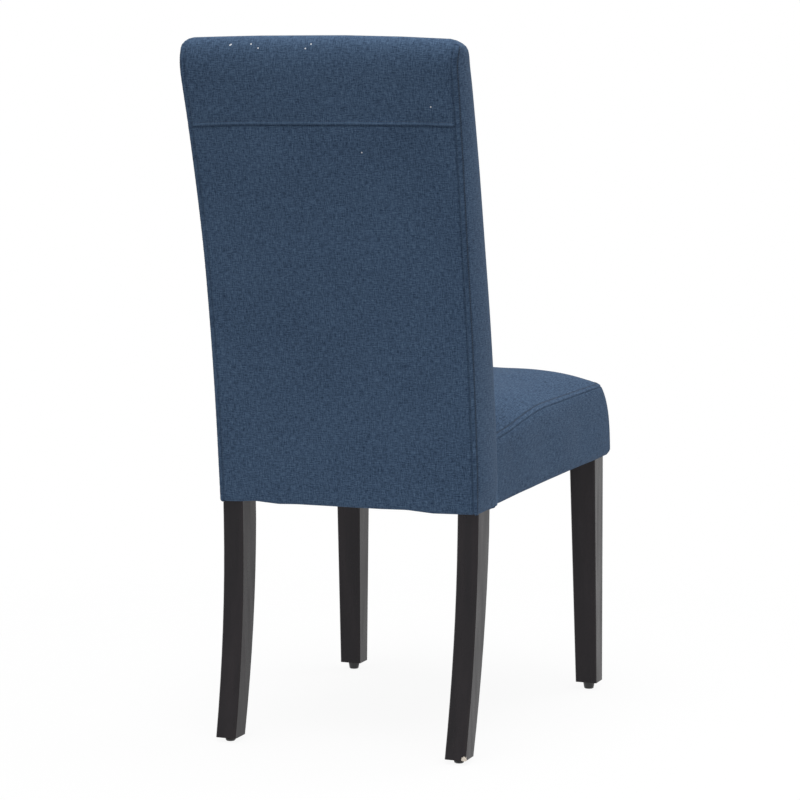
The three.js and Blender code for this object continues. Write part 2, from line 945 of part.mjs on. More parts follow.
// A bolt with its washer under the head, entering a face at a point.
function boltAndWasher(boltName, washerName, from, direction, length) {
	const washerFace = from.clone().addScaledVector(direction, -fitGap - washerThickness);
	const headFace = washerFace.clone().addScaledVector(direction, -fitGap);
	return [
		piece(boltName, aim(hexBolt(length), headFace, direction), zincSteel()),
		piece(washerName, aim(washer(), washerFace, direction), zincSteel()),
	];
}

function legFasteners(sideName, side) {
	return legBoltPlaces(side).flatMap(({ name, from, direction }) => boltAndWasher(
		`leg_bolt_${name}_${sideName}`,
		`leg_washer_${name}_${sideName}`,
		from,
		direction,
		legBoltLength,
	));
}

function backFasteners() {
	const length = mountingRailRear - rearRailFront + washerThickness + 2 * fitGap + teeNutPlate;
	return backBoltPlaces().flatMap(({ name, from }) => {
		const nutPlace = point3(from.x, mountingRailRear + fitGap, from.z);
		return [
			...boltAndWasher(`back_bolt_${name}`, `back_washer_${name}`, from, rearwards, length),
			piece(`back_tee_nut_${name}`, aim(teeNut(), nutPlace, rearwards), zincSteel()),
		];
	});
}

// Upholstery of the seat

const seatTurnUnder = 20;

function legSpace(side, clearance, low, high) {
	const inside = side * (legHalfSpreadFront - legTopWidth - clearance);
	const outside = side * (legHalfSpreadFront + clearance);
	return bar(
		point3(Math.min(inside, outside), -clearance, low),
		point3(Math.max(inside, outside), legTopDepth + clearance, high),
	);
}

function seatFoam() {
	const inset = clothThickness + fitGap;
	const front = -fitGap;
	const rear = seatRearDepth + backThickness;
	const plan = [
		point2(railHalfWidth(front) + fitGap, front),
		point2(railHalfWidth(rear) + fitGap, rear),
		point2(-railHalfWidth(rear) - fitGap, rear),
		point2(-railHalfWidth(front) - fitGap, front),
	];
	const frameSpace = slab(plan, -cutOverrun, boardHigh + fitGap);
	const legs = sides.map(([, side]) => legSpace(side, fitGap, -cutOverrun, boardHigh));
	const geometry = cut(seatForm(inset, inset), [frameSpace, ...legs]);
	return piece('seat_foam', onSeatSlope(geometry), foamRubber());
}

function seatCover() {
	const outer = seatForm(0, 0);
	const inner = seatForm(clothThickness, clothThickness);
	const openingRear = seatRearDepth + backThickness;
	const openingFront = seatTurnUnder - seatOverhang;
	const plan = [
		point2(seatHalfWidth(openingFront) - seatTurnUnder, openingFront),
		point2(seatHalfWidth(openingRear) - seatTurnUnder, openingRear),
		point2(-seatHalfWidth(openingRear) + seatTurnUnder, openingRear),
		point2(-seatHalfWidth(openingFront) + seatTurnUnder, openingFront),
	];
	const opening = slab(plan, -cutOverrun, clothThickness + cutOverrun);
	const legs = sides.map(([, side]) => (
		legSpace(side, fitGap, -cutOverrun, clothThickness + cutOverrun)
	));
	const halfWindow = mountingRailHalf + clothThickness + 2 * fitGap;
	const rearWindow = bar(
		point3(-halfWindow, rearRailFront, -cutOverrun),
		point3(halfWindow, seatRearDepth + backThickness, railHigh + fitGap),
	);
	const geometry = cut(outer, [inner, opening, ...legs, rearWindow]);
	return piece('seat_cover', onSeatSlope(geometry), blueCloth());
}

const dustCoverThickness = 0.8;
const dustCoverInset = 9;

function dustCover() {
	const front = dustCoverInset - seatOverhang;
	const rear = rearRailRear;
	const notchX = legHalfSpreadFront - legTopWidth - fitGap;
	const notchY = legTopDepth + fitGap;
	const sideEdge = (depth) => seatHalfWidth(depth) - dustCoverInset;
	const plan = [
		point2(notchX, front),
		point2(notchX, notchY),
		point2(sideEdge(notchY), notchY),
		point2(sideEdge(rear), rear),
		point2(-sideEdge(rear), rear),
		point2(-sideEdge(notchY), notchY),
		point2(-notchX, notchY),
		point2(-notchX, front),
	];
	const low = -fitGap - dustCoverThickness;
	return piece('dust_cover', onSeatSlope(slab(plan, low, low + dustCoverThickness)), blackFelt());
}

// Levelling feet: a flanged insert in the end of each leg, and a pad on a threaded stud

const insertBore = 3.3;
const insertRadius = 5;
const insertFlangeRadius = 7;
const insertFlange = 1.2;
const insertLength = 14;
const studRadius = 2.95;
const studLength = 25;
const socketSpare = 10;
const padGrip = 0.55;
const padRim = 0.8;
const footFacets = 14;

// Front pads are tall cones screwed right in, and rear pads are low with some stud showing.
const footKinds = {
	front: { topRadius: 9.3, baseRadius: 7.4, padHeight: 11.5, lift: frontFootHeight },
	rear: { topRadius: 7.7, baseRadius: 6.8, padHeight: 4.2, lift: rearFootHeight },
};

function footPlace(kind, side) {
	const { lift } = footKinds[kind];
	if (kind === 'front') {
		return point3(
			side * (legHalfSpreadFront - legFootWidth / 2),
			legFootDepth / 2 - legRake,
			lift,
		);
	}
	const middle = postRearFace(lift) - postFootDepth / 2;
	return point3(side * (legHalfSpreadRear - postWidth / 2), middle, lift);
}

// The stepped hole that takes the insert, with room above it for the stud.
function insertSocket(place) {
	const profile = [
		[0, -cutOverrun],
		[insertFlangeRadius + fitGap, -cutOverrun],
		[insertFlangeRadius + fitGap, insertFlange + fitGap],
		[insertRadius + fitGap, insertFlange + fitGap],
		[insertRadius + fitGap, insertLength + fitGap],
		[insertBore + fitGap, insertLength + fitGap],
		[insertBore + fitGap, insertLength + socketSpare],
		[0, insertLength + socketSpare],
	];
	return turned(profile, footFacets).translate(place.x, place.y, place.z);
}

function footInsert(name, place) {
	const profile = [
		[insertBore, 0],
		[insertFlangeRadius, 0],
		[insertFlangeRadius, insertFlange],
		[insertRadius, insertFlange],
		[insertRadius, insertLength],
		[insertBore, insertLength],
		[insertBore, 0],
	];
	const geometry = turned(profile, footFacets).translate(place.x, place.y, place.z);
	return piece(name, geometry, zincSteel());
}

function footPad(name, kind, place) {
	const { topRadius, baseRadius, padHeight } = footKinds[kind];
	const grip = padHeight * padGrip;
	const profile = [
		[0, 0],
		[baseRadius - padRim, 0],
		[baseRadius, padRim],
		[topRadius, padHeight - padRim],
		[topRadius - padRim, padHeight],
		[studRadius + fitGap, padHeight],
		[studRadius + fitGap, padHeight - grip],
		[0, padHeight - grip],
	];
	const geometry = turned(profile, footFacets).translate(place.x, place.y, 0);
	return piece(name, geometry, blackPlastic());
}

function footStud(name, kind, place) {
	const { padHeight } = footKinds[kind];
	const base = padHeight * (1 - padGrip) + fitGap;
	const profile = [[0, 0], [studRadius, 0], [studRadius, studLength], [0, studLength]];
	const geometry = turned(profile, footFacets).translate(place.x, place.y, base);
	return piece(name, geometry, zincSteel());
}

function levellingFoot(kind, sideName, side) {
	const place = footPlace(kind, side);
	return [
		footInsert(`foot_insert_${kind}_${sideName}`, place),
		footPad(`foot_pad_${kind}_${sideName}`, kind, place),
		footStud(`foot_stud_${kind}_${sideName}`, kind, place),
	];
}

// Assembly

function backAssembly() {
	const group = new THREE.Group();
	for (const [sideName, side] of sides) {
		group.add(rearPost(`rear_post_${sideName}`, side));
	}
	const topRailLevel = postTopHeight - topRailDrop - topRailHeight / 2;
	const lowerRailLevel = hemHeight + lowerRailLift + lowerRailHeight / 2;
	group.add(backRail('back_top_rail', topRailThickness, topRailHeight, topRailLevel));
	group.add(backRail('back_middle_rail', middleRailThickness, middleRailHeight, middleRailLevel));
	group.add(backRail('back_lower_rail', lowerRailThickness, lowerRailHeight, lowerRailLevel));
	group.add(backMountingRail());
	group.add(...backWebs());
	group.add(backFoam());
	group.add(backCover());
	return group;
}

function seatAssembly() {
	const group = new THREE.Group();
	group.add(seatRailFront(), seatRailRear());
	for (const [sideName, side] of sides) {
		group.add(seatRailSide(`seat_rail_${sideName}`, side));
		group.add(cornerBlockFront(`corner_block_front_${sideName}`, side));
		group.add(cornerBlockRear(`corner_block_rear_${sideName}`, side));
		group.add(frontLeg(`front_leg_${sideName}`, side));
		group.add(...legFasteners(sideName, side));
	}
	group.add(seatBoard(), seatFoam(), seatCover(), dustCover());
	return group;
}

function feetAssembly() {
	const group = new THREE.Group();
	for (const kind of Object.keys(footKinds)) {
		for (const [sideName, side] of sides) {
			group.add(...levellingFoot(kind, sideName, side));
		}
	}
	return group;
}

// The finished chair stands with its origin on the floor, under the middle of its box.
const chair = new THREE.Group();
chair.add(backAssembly(), seatAssembly(), ...backFasteners(), feetAssembly());
chair.updateMatrixWorld(true);
const middle = new THREE.Box3().setFromObject(chair).getCenter(new THREE.Vector3());
chair.position.y = -middle.y;

export default chair;
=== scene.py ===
import contextlib
import math

import bmesh
import bpy
import numpy as np
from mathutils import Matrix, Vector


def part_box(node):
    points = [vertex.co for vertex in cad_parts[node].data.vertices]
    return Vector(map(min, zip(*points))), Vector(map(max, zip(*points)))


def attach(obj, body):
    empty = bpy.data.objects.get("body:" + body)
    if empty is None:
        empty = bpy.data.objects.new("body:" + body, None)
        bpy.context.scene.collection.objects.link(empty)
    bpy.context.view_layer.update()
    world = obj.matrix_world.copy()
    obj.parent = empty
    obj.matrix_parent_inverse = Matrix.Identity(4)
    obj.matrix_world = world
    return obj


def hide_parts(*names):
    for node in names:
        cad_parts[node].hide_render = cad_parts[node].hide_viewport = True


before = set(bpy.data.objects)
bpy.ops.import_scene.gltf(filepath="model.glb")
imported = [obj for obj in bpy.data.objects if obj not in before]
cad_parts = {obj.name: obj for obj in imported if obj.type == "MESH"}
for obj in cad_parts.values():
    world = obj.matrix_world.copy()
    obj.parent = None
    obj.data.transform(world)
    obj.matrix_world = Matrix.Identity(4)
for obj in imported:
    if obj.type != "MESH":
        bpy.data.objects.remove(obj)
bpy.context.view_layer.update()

scene = bpy.context.scene
scene.view_settings.view_transform = "Standard"


# The photograph's view: from behind the chair and a little to the sitter's right, with a
# long lens about 0.9 m above the floor.
def add_object(name, data):
    """A new object in the scene."""
    made = bpy.data.objects.new(name, data)
    scene.collection.objects.link(made)
    return made


view_place = (-1.40612, 3.53749, 0.89503)
view_turn = 0.3791
view_dip = 0.1094
view_lens = 116.76

camera = add_object("view_camera", bpy.data.cameras.new("view_camera"))
camera.data.lens = view_lens
camera.location = view_place
camera.rotation_euler = (math.pi / 2 - view_dip, 0, math.pi + view_turn)
scene.camera = camera


# The studio: a pale floor that fades into a white surround and is clear from below, one large
# soft lamp overhead, a smaller one in front of the visible side, and a weak one behind that
# opens up the shadows.
def set_inputs(node, values):
    """Sets a node's inputs to values, or joins them to sockets."""
    for key, value in values.items():
        if isinstance(value, bpy.types.NodeSocket):
            node.id_data.links.new(value, node.inputs[key])
        else:
            node.inputs[key].default_value = value


def add_node(near, kind, values=None, **settings):
    """A shader node with its settings and inputs, in the tree that near is or belongs to."""
    made = near.id_data.nodes.new(kind)
    for key, value in settings.items():
        setattr(made, key, value)
    set_inputs(made, values or {})
    return made


def calculate(operation, *values, **settings):
    """The output of a Math node worked out from numbers and at least one socket."""
    near = next(value for value in values if isinstance(value, bpy.types.NodeSocket))
    inputs = dict(enumerate(values))
    return add_node(near, "ShaderNodeMath", inputs, operation=operation, **settings).outputs[0]


def times(first, second, **settings):
    """The product of two numbers or sockets."""
    return calculate("MULTIPLY", first, second, **settings)


def plus(first, second):
    """The sum of two numbers or sockets."""
    return calculate("ADD", first, second)


def combine(operation, place, *values):
    """The output of a Vector Math node, which is a number where its operation gives one."""
    inputs = dict(enumerate((place, *values)))
    made = add_node(place, "ShaderNodeVectorMath", inputs, operation=operation)
    gives_number = operation in ("LENGTH", "DISTANCE", "DOT_PRODUCT")
    return made.outputs["Value" if gives_number else "Vector"]


def spread(value, low, high, new_low=0.0, new_high=1.0, **settings):
    """A number moved from one range to another, held within it."""
    return add_node(value, "ShaderNodeMapRange", {
        "Value": value, "From Min": low, "From Max": high, "To Min": new_low, "To Max": new_high,
    }, **settings).outputs[0]


def seen_directly(tree):
    """1 where the eye, a mirror or a clear pane sees the surface, and 0 where it only lights."""
    path = add_node(tree, "ShaderNodeLightPath").outputs
    both = calculate("MAXIMUM", path["Is Camera Ray"], path["Is Glossy Ray"])
    return calculate("MAXIMUM", both, path["Is Transmission Ray"])


def empty_tree(holder):
    """The emptied node tree of a world or a material."""
    holder.use_nodes = True
    holder.node_tree.nodes.clear()
    return holder.node_tree


surround_light = 0.46
pure_white = (1, 1, 1, 1)

surround = bpy.data.worlds.new("surround")
tree = empty_tree(surround)
plain, white = (
    add_node(tree, "ShaderNodeBackground", {"Color": pure_white, "Strength": strength})
    for strength in (surround_light, 1.0))
either = add_node(tree, "ShaderNodeMixShader", {
    0: seen_directly(tree), 1: plain.outputs[0], 2: white.outputs[0],
})
add_node(tree, "ShaderNodeOutputWorld", {"Surface": either.outputs[0]})
scene.world = surround

floor_reach = 1.6
floor_fade = (0.7, 1.5)
floor_white = 0.93
floor_glow = 0.92
floor_sides = 96

angles = np.linspace(0, 2 * math.pi, floor_sides, endpoint=False)
rim = np.stack([np.cos(angles), np.sin(angles), np.zeros(floor_sides)], axis=1) * floor_reach
floor_mesh = bpy.data.meshes.new("floor")
floor_mesh.from_pydata(rim.tolist(), [], [list(range(floor_sides))])
floor_material = bpy.data.materials.new("pale_floor")
tree = empty_tree(floor_material)
place = add_node(tree, "ShaderNodeTexCoord").outputs["Object"]
fade = spread(combine("LENGTH", place), *floor_fade, interpolation_type="SMOOTHSTEP")
matt = add_node(tree, "ShaderNodeBsdfDiffuse", {"Color": (*[floor_white] * 3, 1)})
bright = add_node(tree, "ShaderNodeEmission", {"Color": pure_white, "Strength": 1.0})
glow = times(seen_directly(tree), floor_glow)
lit = add_node(tree, "ShaderNodeMixShader", {0: glow, 1: matt.outputs[0], 2: bright.outputs[0]})
clear = add_node(tree, "ShaderNodeBsdfTransparent")
from_below = add_node(tree, "ShaderNodeNewGeometry").outputs["Backfacing"]
unseen = calculate("MAXIMUM", fade, from_below)
shown = add_node(tree, "ShaderNodeMixShader", {0: unseen, 1: lit.outputs[0], 2: clear.outputs[0]})
add_node(tree, "ShaderNodeOutputMaterial", {"Surface": shown.outputs[0]})
floor_mesh.materials.append(floor_material)
add_object("floor", floor_mesh)

lamp_target = (0, 0, 0.5)
lamps = {
    "lamp_above": ((-0.3, 0.6, 3.0), 2.2, 69.0),
    "lamp_side": ((-2.2, -2.4, 1.6), 1.8, 18.0),
    "lamp_behind": ((1.6, 2.6, 1.9), 1.6, 3.5),
}
for name, (lamp_place, lamp_size, lamp_power) in lamps.items():
    lamp = add_object(name, bpy.data.lights.new(name, "AREA"))
    lamp.data.size = lamp_size
    lamp.data.energy = lamp_power
    lamp.location = lamp_place
    aim = np.array(lamp_target) - np.array(lamp_place)
    tilt = math.atan2(math.hypot(aim[0], aim[1]), -aim[2])
    lamp.rotation_euler = (tilt, 0, math.atan2(aim[1], aim[0]) - math.pi / 2)


# The legs: two straight front legs and two one-piece rear posts of hardwood, sprayed with
# black satin lacquer. The lacquer is rubbed thin on the edges, and one rear foot is chipped.
def new_group(name, numbers, results):
    """A shader node group that turns a place and numbers into numbers: the group, what it is
    given, and its output node."""
    group = bpy.data.node_groups.new(name, "ShaderNodeTree")
    group.interface.new_socket("Place", in_out="INPUT", socket_type="NodeSocketVector")
    for key, value in numbers.items():
        made = group.interface.new_socket(key, in_out="INPUT", socket_type="NodeSocketFloat")
        made.default_value = value
    for key in results:
        group.interface.new_socket(key, in_out="OUTPUT", socket_type="NodeSocketFloat")
    given = add_node(group, "NodeGroupInput").outputs
    return group, given, add_node(group, "NodeGroupOutput")


def use_group(group, **values):
    """The outputs of a group that is placed in a material with its own values."""
    return add_node(values["Place"], "ShaderNodeGroup", values, node_tree=group).outputs


def noise(place, scale, detail, **more):
    """A noise texture's number, from its scale, its detail and any other inputs."""
    inputs = {"Vector": place, "Scale": scale, "Detail": detail, **more}
    return add_node(place, "ShaderNodeTexNoise", inputs).outputs["Fac"]


def make_wear_group():
    """Edge wear: how far the rounded-off normal turns from the true one, broken up by noise."""
    patch_scale, patch_gain = 160.0, 5.0
    group, given, out = new_group("edge_wear", {"Width": 0.0015, "Amount": 1.0}, ["Wear"])
    rounded = add_node(group, "ShaderNodeBevel", {"Radius": given["Width"]}, samples=6).outputs[0]
    true_normal = add_node(group, "ShaderNodeNewGeometry").outputs["True Normal"]
    agree = combine("DOT_PRODUCT", rounded, true_normal)
    turned = calculate("SUBTRACT", 1.0, agree)
    patches = noise(given["Place"], patch_scale, 4.0)
    patchy = times(turned, times(patches, patch_gain))
    worn = times(patchy, given["Amount"], use_clamp=True)
    set_inputs(out, {"Wear": worn})
    return group


def make_grain_group():
    """Wood grain: noise drawn out along Z, as a light and dark figure and as fine pores."""
    group, given, out = new_group(
        "wood_grain", {"Figure": 60.0, "Pores": 700.0}, ["Figure", "Pores"])
    for key, drawn_out in (("Figure", 0.07), ("Pores", 0.035)):
        drawn = combine("MULTIPLY", given["Place"], (1.0, 1.0, drawn_out))
        set_inputs(out, {key: noise(drawn, given[key], 5.0, Distortion=0.3)})
    return group


def new_material(name):
    """A material with a Principled surface, and its Object coordinates."""
    material = bpy.data.materials.new(name)
    tree = empty_tree(material)
    surface = add_node(tree, "ShaderNodeBsdfPrincipled")
    add_node(tree, "ShaderNodeOutputMaterial", {"Surface": surface.outputs[0]})
    place = add_node(tree, "ShaderNodeTexCoord").outputs["Object"]
    return material, surface, place


def colour_between(share, first, second):
    """A colour that goes from the first to the second as share goes from 0 to 1."""
    inputs = {0: share}
    for index, colour in ((6, first), (7, second)):
        joined = isinstance(colour, bpy.types.NodeSocket)
        inputs[index] = colour if joined else (*colour, 1.0)
    return add_node(share, "ShaderNodeMix", inputs, data_type="RGBA").outputs[2]


def relief_of(height, distance, strength):
    """The normal of small relief: a height from 0 to 1, over a distance in metres."""
    inputs = {"Height": height, "Distance": distance, "Strength": strength}
    return add_node(height, "ShaderNodeBump", inputs).outputs[0]


def finish_nodes(names, material):
    """Gives CAD nodes a material through their material slots."""
    for name in names:
        for place_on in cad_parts[name].material_slots:
            place_on.material = material


edge_wear = make_wear_group()
wood_grain = make_grain_group()

lacquer_black = (0.0085, 0.0080, 0.0086)
lacquer_brown = (0.0165, 0.0140, 0.0150)
rubbed_wood = (0.060, 0.047, 0.040)
bare_wood = (0.70, 0.63, 0.54)
chip_place = (-0.1905, 0.2427, 0.0085)
chip_reach = 0.0050
chip_edge = 0.0006

lacquer, surface, place = new_material("black_satin_lacquer")
grain = use_group(wood_grain, Place=place, Figure=55.0, Pores=620.0)
wear = use_group(edge_wear, Place=place, Width=0.0013, Amount=0.85)
figure = spread(grain["Figure"], 0.35, 0.7)
body_colour = colour_between(figure, lacquer_black, lacquer_brown)
rubbed = colour_between(wear["Wear"], body_colour, rubbed_wood)
ragged = times(noise(place, 330.0, 3.0), chip_reach * 2)
away = combine("DISTANCE", place, chip_place)
chipped = spread(calculate("SUBTRACT", ragged, away), 0.0, chip_edge)
brushed = combine("MULTIPLY", place, (1.0, 1.0, 0.12))
satin = spread(noise(brushed, 90.0, 4.0), 0.3, 0.7, 0.24, 0.40)
set_inputs(surface, {
    "Base Color": colour_between(chipped, rubbed, bare_wood),
    "Roughness": plus(satin, times(chipped, 0.5)),
    "IOR": 1.33,
    "Specular Tint": (0.98, 0.93, 1.0, 1.0),
    "Normal": relief_of(grain["Pores"], 0.00012, 0.45),
})
finish_nodes(["rear_post_left", "rear_post_right", "front_leg_left", "front_leg_right"], lacquer)


# The frame under the cloth: rails, corner blocks and the mounting rail of raw rubberwood, sawn
# and planed, with the grain along each piece, and a seat board of seven-ply birch.
def split(place):
    """A place's X, Y and Z."""
    return add_node(place, "ShaderNodeSeparateXYZ", {0: place}).outputs


def grain_along(place, axis):
    """The coordinates turned so that an axis, 0 for X or 1 for Y, runs along the grain's Z."""
    parts = split(place)
    order = [parts[(axis + step) % 3] for step in (1, 2, 0)]
    return add_node(place, "ShaderNodeCombineXYZ", dict(enumerate(order))).outputs[0]


def wave(value, pitch):
    """The sine of pi value / pitch, which passes nought once in every pitch."""
    return calculate("SINE", times(value, math.pi / pitch))


pale_wood = (0.58, 0.43, 0.27)
dark_wood = (0.40, 0.27, 0.155)
wood_pore = (0.20, 0.12, 0.065)
pieces_by_grain = (
    ("raw_rubberwood_across", 0, [
        "back_top_rail", "back_middle_rail", "back_lower_rail", "back_mounting_rail",
        "seat_rail_front", "seat_rail_rear", "corner_block_front_left",
        "corner_block_front_right", "corner_block_rear_left", "corner_block_rear_right",
    ]),
    ("raw_rubberwood_front_to_back", 1, ["seat_rail_left", "seat_rail_right"]),
)
for name, axis, wooden in pieces_by_grain:
    rubberwood, surface, place = new_material(name)
    turned = grain_along(place, axis)
    grain = use_group(wood_grain, Place=turned, Figure=42.0, Pores=520.0)
    wear = use_group(edge_wear, Place=place, Width=0.0010, Amount=0.4)
    figured = colour_between(spread(grain["Figure"], 0.3, 0.7), pale_wood, dark_wood)
    pores = spread(grain["Pores"], 0.62, 0.72, 0.0, 0.7)
    pored = colour_between(pores, figured, wood_pore)
    sawn = add_node(turned, "ShaderNodeTexWave", {
        "Vector": turned, "Scale": 90.0, "Distortion": 1.5, "Detail": 2.0,
    }, bands_direction="Z").outputs["Fac"]
    raised = plus(times(sawn, 0.25), grain["Pores"])
    set_inputs(surface, {
        "Base Color": colour_between(wear["Wear"], pored, wood_pore),
        "Roughness": 0.66,
        "Normal": relief_of(raised, 0.0002, 0.5),
    })
    finish_nodes(wooden, rubberwood)

ply_thickness = 0.0017
ply_light = ((0.66, 0.52, 0.34), (0.50, 0.37, 0.22))
ply_dark = ((0.50, 0.36, 0.21), (0.33, 0.22, 0.12))
seat_deep = 0.428
seat_slope = 0.0186 / seat_deep

plywood, surface, place = new_material("birch_plywood")
parts = split(place)
through = plus(parts[2], times(parts[1], seat_slope))
layer = spread(wave(through, ply_thickness), -0.15, 0.15)
along_ply, across_ply = (
    use_group(wood_grain, Place=grain_along(place, axis), Figure=24.0, Pores=400.0)
    for axis in (0, 1))
light_layer = colour_between(spread(along_ply["Figure"], 0.3, 0.7), *ply_light)
dark_layer = colour_between(spread(across_ply["Figure"], 0.3, 0.7), *ply_dark)
set_inputs(surface, {
    "Base Color": colour_between(layer, light_layer, dark_layer),
    "Roughness": 0.62,
    "Normal": relief_of(along_ply["Figure"], 0.0002, 0.4),
})
finish_nodes(["seat_board"], plywood)


# The fasteners: bolts, washers, tee nuts, threaded inserts and the feet's studs of steel with
# bright zinc plating, which is a little cloudy, scratched, and dull where it has been handled.
zinc_bright = (0.66, 0.67, 0.66)
zinc_dull = (0.52, 0.53, 0.47)
fastener_kinds = ("bolt", "washer", "tee_nut", "insert", "stud")

zinc, surface, place = new_material("bright_zinc_plate")
clouds = spread(noise(place, 260.0, 3.0), 0.35, 0.65)
scratches = noise(combine("MULTIPLY", place, (1.0, 1.0, 9.0)), 900.0, 2.0)
set_inputs(surface, {
    "Base Color": colour_between(clouds, zinc_bright, zinc_dull),
    "Metallic": 1.0,
    "Roughness": spread(scratches, 0.3, 0.7, 0.24, 0.46),
    "Normal": relief_of(scratches, 0.00004, 0.5),
})
finish_nodes([
    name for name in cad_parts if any("_" + kind in name for kind in fastener_kinds)], zinc)


# The feet's pads: black moulded plastic, finely grained, and scuffed grey where they slide.
moulded_black = (0.0125, 0.0125, 0.0135)
scuffed_grey = (0.13, 0.125, 0.12)
scuff_heights = (0.0004, 0.0022)

foot_plastic, surface, place = new_material("black_moulded_plastic")
streaked = noise(combine("MULTIPLY", place, (1.0, 6.0, 1.0)), 300.0, 4.0)
low_down = spread(split(place)[2], *scuff_heights, 1.0, 0.0)
scuff = times(low_down, spread(streaked, 0.45, 0.62))
set_inputs(surface, {
    "Base Color": colour_between(scuff, moulded_black, scuffed_grey),
    "Roughness": plus(0.42, times(scuff, 0.35)),
    "Normal": relief_of(noise(place, 1500.0, 2.0), 0.00006, 0.7),
})
finish_nodes([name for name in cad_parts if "_pad_" in name], foot_plastic)


# The back's webbing: four elastic straps pulled tight across the posts. Each is 60 mm wide,
# narrows by 3 mm between the posts, and has a thick selvedge and a coloured line near each edge.
def smooth(value, low, high):
    """0 up to low, 1 from high on, and 3t^2 - 2t^3 between them."""
    share = np.clip((value - low) / (high - low), 0, 1)
    return share * share * (3 - 2 * share)


def stacked(*parts):
    """Arrays spread to one shape and stacked along a new last axis."""
    return np.stack(np.broadcast_arrays(*parts), axis=-1)


def tube_faces(rings, sides, tubes=1):
    """Quads between rings of points and a face over each end, wound to face outwards, for
    equal tubes that follow one another."""
    ring, side = np.meshgrid(np.arange(rings - 1), np.arange(sides), indexing="ij")
    after = (side + 1) % sides
    low, high = ring * sides, (ring + 1) * sides
    quads = stacked(low + side, low + after, high + after, high + side).reshape(-1, 4)
    last = (rings - 1) * sides
    pattern = quads.tolist() + [list(range(sides))[::-1], list(range(last, last + sides))]
    return [[tube * rings * sides + corner for corner in face]
            for tube in range(tubes) for face in pattern]


def new_mesh(name, points, faces):
    """A smooth mesh of points and faces."""
    mesh = bpy.data.meshes.new(name)
    mesh.from_pydata(points.reshape(-1, 3).tolist(), [], faces)
    mesh.shade_smooth()
    return mesh


def set_numbers(mesh, numbers):
    """Gives the mesh's points a number each under every name."""
    for key, values in numbers.items():
        mesh.attributes.new(key, "FLOAT", "POINT").data.foreach_set(
            "value", values.astype(np.float32).ravel())


def add_piece(name, mesh, material, wall=0.0):
    """A piece that rides on the chair, with its material and, where given, a wall inwards."""
    piece = add_object(name, mesh)
    mesh.materials.append(material)
    if wall:
        thickness = piece.modifiers.new("cloth_thickness", "SOLIDIFY")
        thickness.thickness = wall
        thickness.offset = -1.0
    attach(piece, "chair")
    return piece


web_ecru = ((0.40, 0.35, 0.25), (0.60, 0.54, 0.42))
web_green = (0.05, 0.09, 0.05)
web_warp, web_weft = 0.0011, 0.0016
web_thickness = 0.0016
web_selvedge = 0.0004
web_narrowing = 0.0015
web_least = 0.00005
web_line_place, web_line_width = 0.72, 0.045

web_material, surface, place = new_material("elastic_webbing")
parts = split(place)
crossed = times(wave(parts[2], web_warp), wave(parts[0], web_weft))
line = add_node(surface, "ShaderNodeAttribute", attribute_name="coloured").outputs["Fac"]
ecru = colour_between(noise(place, 500.0, 3.0), *web_ecru)
set_inputs(surface, {
    "Base Color": colour_between(line, ecru, web_green),
    "Roughness": 0.85,
    "Normal": relief_of(calculate("ABSOLUTE", crossed), 0.0004, 0.7),
})

wide = np.linspace(-1, 1, 25)
thick = web_thickness / 2 - web_selvedge * (1 - smooth(1 - np.abs(wide), 0.05, 0.12))
thick = thick * np.sqrt(np.clip(1 - np.abs(wide) ** 24, 0, 1)) + web_least
around_wide = np.concatenate([wide, wide[::-1]])
around_thick = np.concatenate([-thick, thick[::-1]])
coloured = np.exp(-((np.abs(around_wide) - web_line_place) / web_line_width) ** 4)
for number in range(1, 5):
    name = f"back_web_{number}"
    low, high = (np.array(corner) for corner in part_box(name))
    centre = (low + high) / 2
    half_length, half_wide = (high[0] - low[0]) / 2, (high[2] - low[2]) / 2
    lean = (high[1] - low[1] - web_thickness) / (2 * half_wide)
    stations = np.linspace(-half_length, half_length, 97)
    waist = 1 - web_narrowing / half_wide * smooth(half_length - np.abs(stations), 0.02, 0.09)
    raised = around_wide * half_wide * waist[:, None]
    points = stacked(
        stations[:, None], centre[1] + raised * lean + around_thick, centre[2] + raised)
    mesh = new_mesh(name + "_strap", points, tube_faces(len(stations), len(around_wide)))
    set_numbers(mesh, {"coloured": np.tile(coloured, len(stations))})
    strap = add_piece(name + "_strap", mesh, web_material)
    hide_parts(name)


# The cloth of both covers: a plain weave of navy linen-look yarn, 11 threads to the centimetre,
# in which uneven thick and thin yarns of two shades of blue show as short streaks. A few white
# lint flecks cling to it. The thread of the seams is a darker navy.
def make_weave_group():
    """Plain weave on a UV map in metres. Each thread is a sine hump across its own width, and
    the product of both directions' sines says which one lies on top at a crossing. Noise drawn
    out five or six times along each direction, and fine noise without a direction, give the
    lighter and darker yarn."""
    hump_share, crossing_share = 0.7, 0.3
    streak_share, heather_share = 0.39, 0.22
    group, given, out = new_group("linen_weave", {"Pitch": 0.0009}, ["Relief", "Yarn"])
    where = given["Place"]
    parts = split(where)
    waves = [
        wave(calculate("DIVIDE", parts[axis], given["Pitch"]), 1.0)
        for axis in (0, 1)]
    crossing = times(*waves)
    humps = times(calculate("ABSOLUTE", crossing), hump_share)
    crossings = times(crossing, crossing_share)
    streaks = [
        spread(noise(combine("MULTIPLY", where, (*scales, 1.0)), 1.0, 2.5, Roughness=0.6),
               0.3, 0.72)
        for scales in ((120.0, 640.0), (640.0, 100.0))]
    heather = spread(noise(where, 620.0, 1.0, Roughness=0.6), 0.3, 0.7)
    streaked = times(plus(*streaks), streak_share)
    heathered = times(heather, heather_share)
    set_inputs(out, {
        "Relief": plus(humps, crossings),
        "Yarn": plus(streaked, heathered),
    })
    return group


